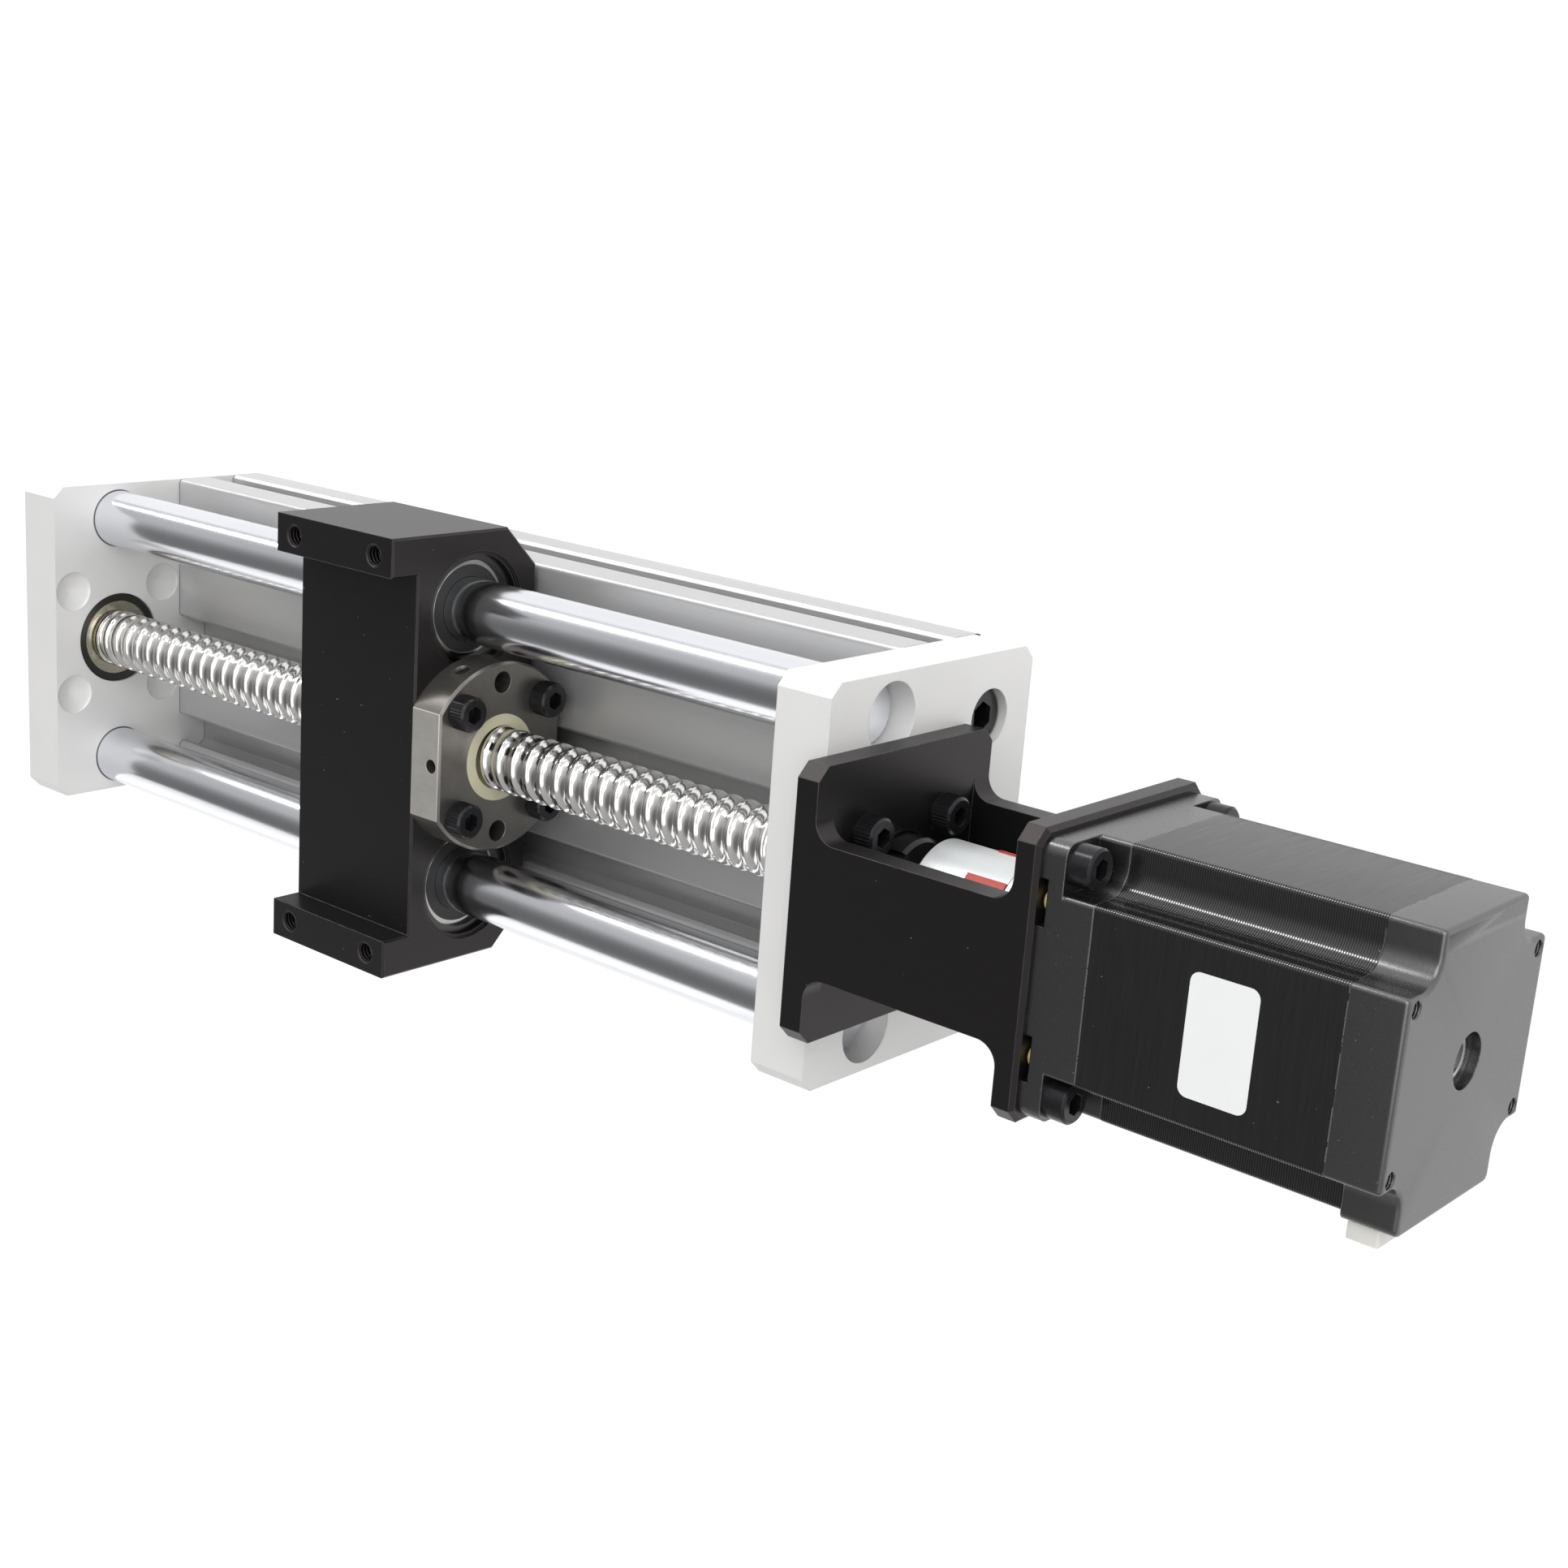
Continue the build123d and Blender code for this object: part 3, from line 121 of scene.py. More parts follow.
# Lamps in metres: place, the point that it lights, its two sides and the setting of its power
MIDDLE = (0.05, 0, 0.04)
LAMPS = {
    "soft_key": ((0.55, 0.95, 1.15), MIDDLE, (1.1, 1.1), "key_power"),
    "soft_front": ((0.9, -0.1, 1.4), MIDDLE, (0.9, 0.9), "front_power"),
    "soft_fill": ((-1.1, -1.0, 0.35), MIDDLE, (0.9, 0.9), "fill_power"),
    "strip": ((-0.87, 1.1, 0.46), (-0.87, 0, 0.04), (1.5, 0.13), "strip_power"),
}
# The room is brightest towards this side, and its stops run from the dark side to it
BRIGHT_SIDE = (0.5, 0.75)
BRIGHT_SHIFT = 0.1
ROOM_STOPS = ((0.0, 0.42), (0.34, 0.46), (0.58, 0.56), (0.8, 0.88))
# How much of the room's light is left from the middle of DARK_SKY outwards
SKY_STOPS = ((0.0, 0.34), (0.06, 0.45), (0.2, 1.0))
# The floor's white: its strength, and its share as the camera and a mirroring face see it
FLOOR_WHITE = 1.12
FLOOR_SEEN = 0.82
FLOOR_MIRRORED = 0.8

# The camera that the photograph's corners give: focal length and centre in pixels of its side
PHOTO_SIDE = 1932
FOCAL_PIXELS = 2860.07
CENTRE_PIXELS = (893.82, 992.39)
SENSOR = 36.0
NEAR_CLIP = 0.01
CAMERA_PLACE = (0.43349, 0.14890, 0.43435)
CAMERA_RIGHT = (0.744267, 0.063457, -0.664861)
CAMERA_DOWN = (0.227858, -0.959876, 0.163458)
CAMERA_FORWARD = (-0.627812, -0.273151, -0.728863)
# The part of the sky that the camera sees mirrored in the faces that look up
DARK_SKY = (-0.627812, -0.273151, 0.728863)


# Node trees

class Signal:
    """An output socket that takes part in expressions: each operation adds its Math node."""

    def __init__(self, graph, socket):
        self.graph = graph
        self.socket = socket

    def maths(self, operation, *values):
        return self.graph.make("ShaderNodeMath", {"operation": operation}, dict(enumerate(values)))

    def __add__(self, other):
        return self.maths("ADD", self, other)

    def __radd__(self, other):
        return self.maths("ADD", other, self)

    def __sub__(self, other):
        return self.maths("SUBTRACT", self, other)

    def __rsub__(self, other):
        return self.maths("SUBTRACT", other, self)

    def __mul__(self, other):
        return self.maths("MULTIPLY", self, other)

    def __rmul__(self, other):
        return self.maths("MULTIPLY", other, self)

    def __truediv__(self, other):
        return self.maths("DIVIDE", self, other)

    def __gt__(self, other):
        return self.maths("GREATER_THAN", self, other)

    def __lt__(self, other):
        return self.maths("LESS_THAN", self, other)

    def sine(self):
        return self.maths("SINE", self)

    def cosine(self):
        return self.maths("COSINE", self)

    def root(self):
        return self.maths("SQRT", self)

    def size(self):
        return self.maths("ABSOLUTE", self)

    def at_least(self, low):
        return self.maths("MAXIMUM", self, low)

    def at_most(self, high):
        return self.maths("MINIMUM", self, high)


class Graph:
    """A node tree being built. Every node comes from make()."""

    def __init__(self, tree):
        self.tree = tree
        tree.nodes.clear()

    def make(self, kind, settings=None, inputs=None, output=0):
        node = self.tree.nodes.new(kind)
        for key, value in (settings or {}).items():
            if key == "stops":
                ramp = node.color_ramp
                while len(ramp.elements) < len(value):
                    ramp.elements.new(0.5)
                for element, (place, shade) in zip(ramp.elements, value):
                    element.position = place
                    element.color = (shade, shade, shade, 1)
            else:
                setattr(node, key, value)
        for key, value in (inputs or {}).items():
            if isinstance(value, Signal):
                self.tree.links.new(value.socket, node.inputs[key])
            else:
                node.inputs[key].default_value = value
        return Signal(self, node.outputs[output]) if node.outputs else None

    def blend(self, factor, first, second):
        """Colour between two colours."""
        return self.make(
            "ShaderNodeMix",
            {"data_type": "RGBA"},
            {0: factor, 6: first, 7: second},
            output=2,
        )


class Finish(Graph):
    """A material being built, with its place on the object in millimetres."""

    def __init__(self, name):
        self.material = bpy.data.materials.new(name)
        self.material.use_nodes = True
        super().__init__(self.material.node_tree)
        self.object_place = self.make("ShaderNodeTexCoord", output="Object")

    def place(self, stretch):
        """Object coordinates in millimetres, squeezed along each axis by stretch."""
        scale = tuple(value / MM for value in stretch)
        return self.make("ShaderNodeMapping", {}, {"Vector": self.object_place, "Scale": scale})

    def axis(self, index):
        """One object coordinate in millimetres."""
        return self.make("ShaderNodeSeparateXYZ", {}, {0: self.object_place}, index) * (1 / MM)

    def noise(self, scale, detail, stretch=(1, 1, 1)):
        return self.make(
            "ShaderNodeTexNoise",
            {},
            {"Vector": self.place(stretch), "Scale": scale, "Detail": detail},
        )

    def steps(self, signal, *stops):
        """Number from a ramp of grey stops, each a place and a shade."""
        return self.make("ShaderNodeValToRGB", {"stops": stops}, {0: signal}) * 1.0

    def relief(self, height, depth, strength, under=None):
        """Normal of a surface whose height varies by depth millimetres."""
        inputs = {"Height": height, "Distance": depth * MM, "Strength": strength}
        if under:
            inputs["Normal"] = under
        return self.make("ShaderNodeBump", {}, inputs)

    def rounded(self, radius):
        """Normal that rounds the edges by radius millimetres."""
        return self.make("ShaderNodeBevel", {"samples": BEVEL_SAMPLES}, {"Radius": radius * MM})

    def turn(self, soft):
        """How far a rounded normal turns away from the face: more than nothing at an edge."""
        flat = self.make("ShaderNodeNewGeometry", output="Normal")
        alike = self.make(
            "ShaderNodeVectorMath", {"operation": "DOT_PRODUCT"}, {0: soft, 1: flat}, "Value"
        )
        return 1.0 - alike

    def finish(self, colour, metallic, roughness, normal=None, **constants):
        """Closes the material with its shader. Constants are the shader's other sockets."""
        inputs = {"Base Color": colour, "Metallic": metallic, "Roughness": roughness}
        if normal:
            inputs["Normal"] = normal
        for key, value in constants.items():
            inputs[key.replace("_", " ").title().replace("Ior", "IOR")] = value
        shader = self.make("ShaderNodeBsdfPrincipled", {}, inputs)
        self.make("ShaderNodeOutputMaterial", {}, {"Surface": shader})
        return self.material


def rgba(colour, shade):
    """Colour with its alpha, made lighter or darker by shade."""
    return tuple(value * shade for value in colour[:3]) + (1,)


# Finishes

def extruded_aluminium(settings):
    """Anodised extrusion: die lines along the travel, soft cloudiness and painted shade at the
    plates.
    """
    f = Finish("extruded_aluminium")
    soft = f.rounded(0.3)
    lines = f.noise(1.6, 4, (0.004, 1, 1))
    cloud = f.noise(0.05, 3, (0.5, 1, 1))
    shade = lines * 0.25 + cloud * 0.3 + 0.22
    joint_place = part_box("base_profile")[1].x / MM
    # Painted shade: a dark line in the gap where the base meets each end plate
    joint_shade = (f.axis(0).size() - joint_place).size() < JOINT_SHADE_WIDTH
    colour = f.blend(shade, rgba(settings.silver, 0.72), rgba(settings.silver, 1.06))
    colour = f.blend(joint_shade, colour, rgba(settings.silver, 0.12))
    fine = f.noise(2.5, 3, (0.01, 1, 1))
    return f.finish(
        colour,
        0.62,
        lines * 0.16 + 0.3,
        f.relief(fine, 0.02, 0.35, soft),
    )


def blasted_aluminium(settings):
    """Fine blasted and anodised plate with a sparkle on its grain and painted shade round the
    rods.
    """
    f = Finish("blasted_aluminium")
    low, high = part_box("guide_rod_left")
    rod_y = abs(low.y + high.y) / 2 / MM
    rod_z = (low.z + high.z) / 2 / MM
    rod_radius = (high.z - low.z) / 2 / MM
    across = f.axis(1).size() - rod_y
    upward = f.axis(2) - rod_z
    # Painted shade: a dark ring round each rod where it enters the plate
    near = (across * across + upward * upward).root() < rod_radius + ROD_SHADE_WIDTH
    rim = near * (f.axis(0).size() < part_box("base_profile")[1].x / MM + ROD_SHADE_DEPTH)
    soft = f.rounded(0.35)
    grain = f.noise(4.5, 2)
    cloud = f.noise(0.06, 3)
    colour = f.blend(
        grain * 0.5 + cloud * 0.5, rgba(settings.plate, 0.9), rgba(settings.plate, 1.04)
    )
    colour = f.blend(rim * 0.85, colour, rgba(settings.plate, 0.1))
    return f.finish(colour, 0.2, grain * 0.2 + 0.36, f.relief(grain, 0.035, 0.55, soft))


def black_anodised(settings):
    """Satin black anodising: faint mill marks, dust, and lighter edges, partly worn, partly
    painted highlight.
    """
    f = Finish("black_anodised")
    soft = f.rounded(0.3)
    grain = f.noise(3.0, 3)
    marks = f.noise(0.9, 3, (0.15, 1, 1))
    dust = f.steps(f.noise(1.1, 2), (0.775, 0), (0.79, 1))
    # Edges made lighter in broken stretches: partly worn anodising, partly a painted highlight
    edge_wear_and_highlight = (f.turn(soft) * 4.0).at_most(1.0) * f.steps(f.noise(0.35, 4), (0.3, 0.25), (0.6, 1))
    colour = f.blend(marks, rgba(settings.black, 0.8), rgba(settings.black, 1.3))
    colour = f.blend(edge_wear_and_highlight * 0.6, colour, (0.26, 0.24, 0.23, 1))
    colour = f.blend(dust * 0.5, colour, (0.40, 0.39, 0.37, 1))
    return f.finish(
        colour,
        0.0,
        grain * 0.1 + 0.32,
        f.relief(grain, 0.008, 0.4, soft),
        specular_ior_level=0.42,
        specular_tint=(1.0, 0.9, 0.88, 1),
    )


def hard_chrome():
    """Ground and hard chromed rod with grinding marks round it."""
    f = Finish("hard_chrome")
    marks = f.noise(2.2, 3, (1, 0.05, 0.05))
    cloud = f.noise(0.03, 2)
    colour = f.blend(cloud, (0.74, 0.755, 0.80, 1), (0.84, 0.85, 0.88, 1))
    return f.finish(colour, 1.0, marks * 0.09 + 0.13, f.relief(marks, 0.003, 0.25))


def ground_steel():
    """Bright hardened and ground steel, with an oil film in places."""
    f = Finish("ground_steel")
    film = f.noise(0.25, 4)
    colour = f.blend(film, (0.70, 0.685, 0.66, 1), (0.84, 0.83, 0.815, 1))
    return f.finish(colour, 1.0, film * 0.1 + 0.09, f.relief(film, 0.01, 0.1))


def brushed_steel(name, colour, roughness):
    """Turned or ground steel with fine marks."""
    f = Finish(name)
    soft = f.rounded(0.2)
    marks = f.noise(2.0, 4, (0.3, 1, 1))
    cloud = f.noise(0.2, 3)
    shade = f.blend(marks * 0.5 + cloud * 0.5, rgba(colour, 0.78), rgba(colour, 1.12))
    return f.finish(shade, 1.0, cloud * 0.12 + roughness, f.relief(marks, 0.01, 0.4, soft))


def nut_steel():
    """Dark turned steel of the nut, with its two flats ground bright."""
    f = Finish("nut_steel")
    low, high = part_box("ball_nut")
    middle = (low.z + high.z) / 2 / MM
    half = (high.z - low.z) / 2 / MM
    soft = f.rounded(0.25)
    flat = (f.axis(2) - middle).size() > half - FLAT_DEPTH
    lines = f.noise(1.8, 4, (0.12, 1, 1))
    cloud = f.noise(0.25, 3)
    shade = lines * 0.5 + cloud * 0.5
    turned = f.blend(shade, (0.17, 0.16, 0.148, 1), (0.27, 0.255, 0.235, 1))
    ground = f.blend(shade, (0.50, 0.48, 0.445, 1), (0.66, 0.64, 0.60, 1))
    colour = f.blend(flat, turned, ground)
    colour = f.blend((f.turn(soft) * 2.5).at_most(1.0) * 0.7, colour, (0.68, 0.66, 0.62, 1))
    return f.finish(
        colour, 0.85, cloud * 0.1 + flat * 0.2 + 0.28, f.relief(lines, 0.012, 0.4, soft)
    )


def black_oxide():
    """Blued screw: nearly black with a cool sheen, rubbed edges and oil."""
    f = Finish("black_oxide")
    soft = f.rounded(0.2)
    patch = f.noise(0.8, 4)
    rub = f.steps(f.noise(2.4, 3), (0.66, 0), (0.74, 1))
    colour = f.blend(patch, (0.008, 0.0082, 0.0095, 1), (0.018, 0.0185, 0.021, 1))
    colour = f.blend(rub * 0.3, colour, (0.08, 0.083, 0.09, 1))
    return f.finish(colour, 0.3, patch * 0.16 + 0.16, f.relief(patch, 0.02, 0.35, soft))


def yellow_shield():
    """Passivated sheet steel with a yellow cast."""
    f = Finish("yellow_shield")
    patch = f.noise(0.7, 3)
    colour = f.blend(patch, (0.44, 0.41, 0.31, 1), (0.66, 0.63, 0.50, 1))
    return f.finish(colour, 0.95, patch * 0.12 + 0.2, f.relief(patch, 0.01, 0.3))


def turned_aluminium():
    """Bright coupling aluminium with turning marks."""
    f = Finish("turned_aluminium")
    marks = f.noise(3.0, 2, (1, 0.1, 0.1))
    colour = f.blend(marks, (0.66, 0.68, 0.685, 1), (0.78, 0.80, 0.805, 1))
    return f.finish(colour, 0.6, marks * 0.1 + 0.3, f.relief(marks, 0.004, 0.3))


def red_elastomer(settings):
    """Translucent red coupling spider."""
    f = Finish("red_elastomer")
    cloud = f.noise(0.4, 2)
    colour = f.blend(cloud, rgba(settings.red, 0.85), rgba(settings.red, 1.2))
    return f.finish(
        colour,
        0.0,
        cloud * 0.1 + 0.3,
        f.relief(cloud, 0.02, 0.3),
        subsurface_weight=0.1,
        subsurface_radius=(0.002, 0.0008, 0.0006),
    )


def motor_lacquer(settings):
    """Dark lacquer over die-cast covers: orange peel, specks, edges partly rubbed, partly painted
    highlight.
    """
    f = Finish("motor_lacquer")
    soft = f.rounded(0.35)
    peel = f.noise(0.5, 2)
    dots = f.steps(f.noise(1.6, 2), (0.755, 0), (0.775, 1))
    pits = f.noise(3.2, 2)
    # Edges made lighter in broken stretches: partly rubbed lacquer, partly a painted highlight
    edge_wear_and_highlight = (f.turn(soft) * 3.0).at_most(1.0) * f.steps(f.noise(0.5, 4), (0.54, 0), (0.64, 1))
    colour = f.blend(peel, rgba(settings.motor, 0.85), rgba(settings.motor, 1.25))
    colour = f.blend((dots + edge_wear_and_highlight).at_most(1.0) * 0.3, colour, (0.42, 0.40, 0.38, 1))
    normal = f.relief(peel, 0.025, 0.4, soft)
    return f.finish(
        colour,
        0.0,
        pits * 0.16 + 0.2,
        f.relief(pits, 0.012, 0.3, normal),
        ior=2.2,
    )


def lacquered_stack(settings):
    """Ground and lacquered sheets: fine lines across the travel, bare hairlines at the covers."""
    f = Finish("lacquered_stack")
    along = f.axis(0)
    sheet = (along * (FULL_TURN / settings.sheet_pitch)).sine()
    tone = f.noise(1.2, 3, (1.4, 0.08, 0.08))
    dots = f.steps(f.noise(0.9, 2), (0.765, 0), (0.78, 1))
    low, high = (corner.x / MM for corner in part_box("motor_stator"))
    near = (along - low).at_most(high - along)
    broken = f.noise(0.35, 3, (0.1, 1, 1)) > 0.44
    seam = (near < SEAM_WIDTH) * broken
    colour = f.blend(tone, rgba(settings.motor, 0.75), rgba(settings.motor, 1.2))
    colour = f.blend(dots * 0.5, colour, (0.34, 0.33, 0.32, 1))
    colour = f.blend(seam * 0.6, colour, (0.22, 0.205, 0.18, 1))
    relief = f.relief(sheet, 0.006, 0.5, f.relief(tone, 0.02, 0.35))
    return f.finish(colour, 0.0, tone * 0.14 + 0.24, relief, ior=1.6)


def sheet_edges():
    """Glossy dark lacquer on the stacked sheets' edges in the corner notches."""
    f = Finish("sheet_edges")
    spread = f.noise(0.8, 3, (0.3, 1, 1))
    colour = f.blend(spread, (0.006, 0.006, 0.0065, 1), (0.016, 0.016, 0.017, 1))
    return f.finish(colour, 0.0, spread * 0.06 + 0.1, ior=2.0)


def plated(name, dull, bright, roughness, metallic=0.95):
    """Plated or enamelled metal with uneven tone."""
    f = Finish(name)
    patch = f.noise(0.9, 3)
    colour = f.blend(patch, dull + (1,), bright + (1,))
    return f.finish(colour, metallic, patch * 0.15 + roughness, f.relief(patch, 0.01, 0.3))


def moulded(name, dull, bright, roughness, clear=0.0):
    """Moulded plastic or rubber with a faint spark-eroded texture."""
    f = Finish(name)
    texture = f.noise(2.2, 3)
    cloud = f.noise(0.15, 2)
    colour = f.blend(cloud * 0.7 + texture * 0.3, dull + (1,), bright + (1,))
    return f.finish(
        colour,
        0.0,
        texture * 0.15 + roughness,
        f.relief(texture, 0.015, 0.35),
        subsurface_weight=clear,
        subsurface_radius=(0.001, 0.001, 0.0008),
    )


def sticker_paper():
    """Coated white paper with a faint fibre."""
    f = Finish("sticker_paper")
    fibre = f.noise(2.6, 4)
    cloud = f.noise(0.1, 2)
    colour = f.blend(fibre * 0.4 + cloud * 0.6, (0.81, 0.815, 0.82, 1), (0.87, 0.875, 0.88, 1))
    return f.finish(colour, 0.0, fibre * 0.1 + 0.4, f.relief(fibre, 0.008, 0.3))


def all_finishes(settings):
    """Every finish, by the material slot of the record that takes it."""
    return {
        "base_aluminium": extruded_aluminium(settings),
        "plate_aluminium": blasted_aluminium(settings),
        "black_anodised": black_anodised(settings),
        "hard_chrome": hard_chrome(),
        "ground_steel": ground_steel(),
        "nut_steel": nut_steel(),
        "bearing_steel": brushed_steel("bearing_steel", (0.46, 0.46, 0.455), 0.16),
        "dark_steel": brushed_steel("dark_steel", (0.085, 0.085, 0.08), 0.28),
        "black_oxide": black_oxide(),
        "shield_brass": yellow_shield(),
        "coupling_aluminium": turned_aluminium(),
        "spider_red": red_elastomer(settings),
        "motor_cover": motor_lacquer(settings),
        "motor_laminations": lacquered_stack(settings),
        "winding_copper": plated("winding_copper", (0.45, 0.18, 0.07), (0.72, 0.34, 0.15), 0.3),
        "motor_steel": brushed_steel("motor_steel", (0.3, 0.3, 0.295), 0.24),
        "zinc_yellow": plated("zinc_yellow", (0.85, 0.66, 0.2), (0.95, 0.82, 0.4), 0.3, 0.4),
        "tinned_brass": plated("tinned_brass", (0.6, 0.58, 0.52), (0.75, 0.73, 0.68), 0.25),
        "white_nylon": moulded("white_nylon", (0.74, 0.73, 0.68), (0.86, 0.85, 0.81), 0.35, 0.2),
        "cage_resin": moulded("cage_resin", (0.66, 0.63, 0.54), (0.78, 0.75, 0.66), 0.4),
        "seal_rubber": moulded("seal_rubber", (0.015, 0.015, 0.015), (0.035, 0.035, 0.035), 0.45),
        "wiper_white": moulded("wiper_white", (0.60, 0.57, 0.38), (0.76, 0.73, 0.56), 0.35, 0.2),
    }


# Helpers of the pieces

# The socket that a value of each type takes in a Geometry Nodes tree
SOCKETS = {float: "NodeSocketFloat", int: "NodeSocketInt", tuple: "NodeSocketVector"}


def settings_of(context):
    """The sizes and colours that the panel shows."""
    return context.scene.linear_module


def finish_of(slot):
    """The finish that the finishes operator made for a slot of the record."""
    return bpy.data.materials[bpy.context.scene["finish_" + slot]]


def add_piece(name, mesh, body):
    """Puts a finished mesh into the scene as a piece that rides on a body."""
    piece = bpy.data.objects.new(name, mesh)
    bpy.context.scene.collection.objects.link(piece)
    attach(piece, body)
    return piece


def smooth_round(mesh, crease):
    """Shades a mesh smooth, but for edges sharper than crease degrees."""
    for polygon in mesh.polygons:
        polygon.use_smooth = True
    mesh.set_sharp_from_angle(angle=math.radians(crease))


def mesh_of(name, build):
    """Mesh made by build(bm)."""
    bm = bmesh.new()
    build(bm)
    mesh = bpy.data.meshes.new(name)
    bm.to_mesh(mesh)
    bm.free()
    return mesh


def geometry_tree(name, inputs):
    """New Geometry Nodes tree: its graph, its inputs as signals and their identifiers."""
    tree = bpy.data.node_groups.new(name, "GeometryNodeTree")
    tree.interface.new_socket("Geometry", in_out="OUTPUT", socket_type="NodeSocketGeometry")
    graph = Graph(tree)
    given = {}
    identifiers = {}
    for label, kind in {"Geometry": "NodeSocketGeometry", **inputs}.items():
        socket = tree.interface.new_socket(label, in_out="INPUT", socket_type=kind)
        identifiers[label] = socket.identifier
        given[label] = graph.make("NodeGroupInput", output=label)
    return graph, given, identifiers


def grown(tree_name, build, slot, values, seed=None):
    """Mesh with a slot's finish that a Geometry Nodes tree grows from a seed mesh.

    values gives each named input its value, and build(graph, given) returns the geometry that
    goes to Realize Instances and Set Material.
    """
    kinds = {label: SOCKETS[type(value)] for label, value in values.items()}
    graph, given, identifiers = geometry_tree(
        tree_name, {**kinds, "Finish": "NodeSocketMaterial"}
    )
    shape = build(graph, given)
    real = graph.make("GeometryNodeRealizeInstances", {}, {"Geometry": shape})
    painted = graph.make(
        "GeometryNodeSetMaterial", {}, {"Geometry": real, "Material": given["Finish"]}
    )
    graph.make("NodeGroupOutput", {}, {"Geometry": painted})
    holder = bpy.data.objects.new(tree_name, seed or bpy.data.meshes.new(tree_name))
    bpy.context.scene.collection.objects.link(holder)
    modifier = holder.modifiers.new(tree_name, "NODES")
    modifier.node_group = graph.tree
    for label, value in {**values, "Finish": finish_of(slot)}.items():
        modifier[identifiers[label]] = value
    now = bpy.context.evaluated_depsgraph_get()
    mesh = bpy.data.meshes.new_from_object(holder.evaluated_get(now))
    bpy.data.objects.remove(holder)
    return mesh


def turned_over(graph, shape, angle):
    """A shape turned round Y, by a quarter turn to bring what stands on Z along the travel."""
    return graph.make(
        "GeometryNodeTransform", {}, {"Geometry": shape, "Rotation": (0, angle, 0)}
    )


# Operators

class MODULE_OT_finishes(bpy.types.Operator):
    """Make the finishes and give each CAD node its own"""

    bl_idname = "linear_module.finishes"
    bl_label = "Finishes"

    def execute(self, context):
        for slot, material in all_finishes(settings_of(context)).items():
            context.scene["finish_" + slot] = material.name
        context.scene["finish_sheet_edges"] = sheet_edges().name
        context.scene["finish_sticker"] = sticker_paper().name
        for part in frame["record"]["subparts"]:
            for slot in NODES[part["node"]].material_slots:
                slot.material = finish_of(part["material_slot"])
        return {"FINISHED"}


class MODULE_OT_smooth_shading(bpy.types.Operator):
    """Shade the round CAD surfaces smooth, with their real edges sharp"""

    bl_idname = "linear_module.smooth_shading"
    bl_label = "Smooth shading"

    def execute(self, context):
        graph, given, _ = geometry_tree("round_faces", {})
        merged = graph.make(
            "GeometryNodeMergeByDistance", {}, {"Geometry": given["Geometry"], "Distance": WELD}
        )
        angle = graph.make("GeometryNodeInputMeshEdgeAngle")
        sharp = angle > math.radians(settings_of(context).crease)
        hard = graph.make(
            "GeometryNodeSetShadeSmooth",
            {"domain": "EDGE"},
            {"Geometry": merged, "Selection": sharp, "Shade Smooth": False},
        )
        smooth = graph.make(
            "GeometryNodeSetShadeSmooth", {"domain": "FACE"}, {"Geometry": hard}
        )
        graph.make("NodeGroupOutput", {}, {"Geometry": smooth})
        for node in NODES.values():
            modifier = node.modifiers.new("round_faces", "NODES")
            modifier.node_group = graph.tree
        return {"FINISHED"}


class MODULE_OT_ball_screw(bpy.types.Operator):
    """Cut the ball groove into the screw"""

    bl_idname = "linear_module.ball_screw"
    bl_label = "Ball screw"

    def execute(self, context):
        settings = settings_of(context)
        axis = frame["record"]["behaviour"]["joints"][0]["pos_m"][2]
        radius = settings.screw_diameter / 2 * MM
        bm = bmesh.new()
        bm.from_mesh(NODES["ball_screw"].data)
        bmesh.ops.remove_doubles(bm, verts=bm.verts, dist=WELD)
        barrel = barrel_faces(bm, axis, radius)
        if not barrel:
            raise RuntimeError("the screw's plain barrel was not found")
        places = [v.co.x for face in barrel for v in face.verts]
        start, end = min(places) + BARREL_SLACK, max(places) - BARREL_SLACK
        bmesh.ops.delete(bm, geom=barrel, context="FACES")
        turns = math.ceil((end - start) / (settings.lead * MM)) + 2
        thread = grown(
            "ball_groove",
            build_thread,
            "ground_steel",
            {
                "Start": start,
                "End": end,
                "Axis Height": axis,
                "Radius": radius,
                "Lead": settings.lead * MM,
                "Groove Half Width": settings.groove_width / 2 * MM,
                "Groove Depth": settings.groove_depth * MM,
                "Turns": turns,
                "Steps Round": turns * settings.thread_steps + 1,
                "Points Along": settings.thread_points + 1,
            },
        )
        bm.from_mesh(thread)
        mesh = bpy.data.meshes.new("threaded_screw")
        bm.to_mesh(mesh)
        bm.free()
        mesh.materials.append(finish_of("ground_steel"))
        for polygon in mesh.polygons:
            polygon.material_index = 0
        smooth_round(mesh, settings.thread_crease)
        piece = add_piece("threaded_screw", mesh, "screw")
        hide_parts("ball_screw")
        return {"FINISHED"}


def barrel_faces(bm, axis, radius):
    """Faces of the screw's plain barrel, whose place the thread takes."""
    def outermost(vert):
        return math.hypot(vert.co.y, vert.co.z - axis) > radius - BARREL_SLACK

    return [
        face
        for face in bm.faces
        if abs(face.normal.x) < LENGTHWISE and all(outermost(vert) for vert in face.verts)
    ]


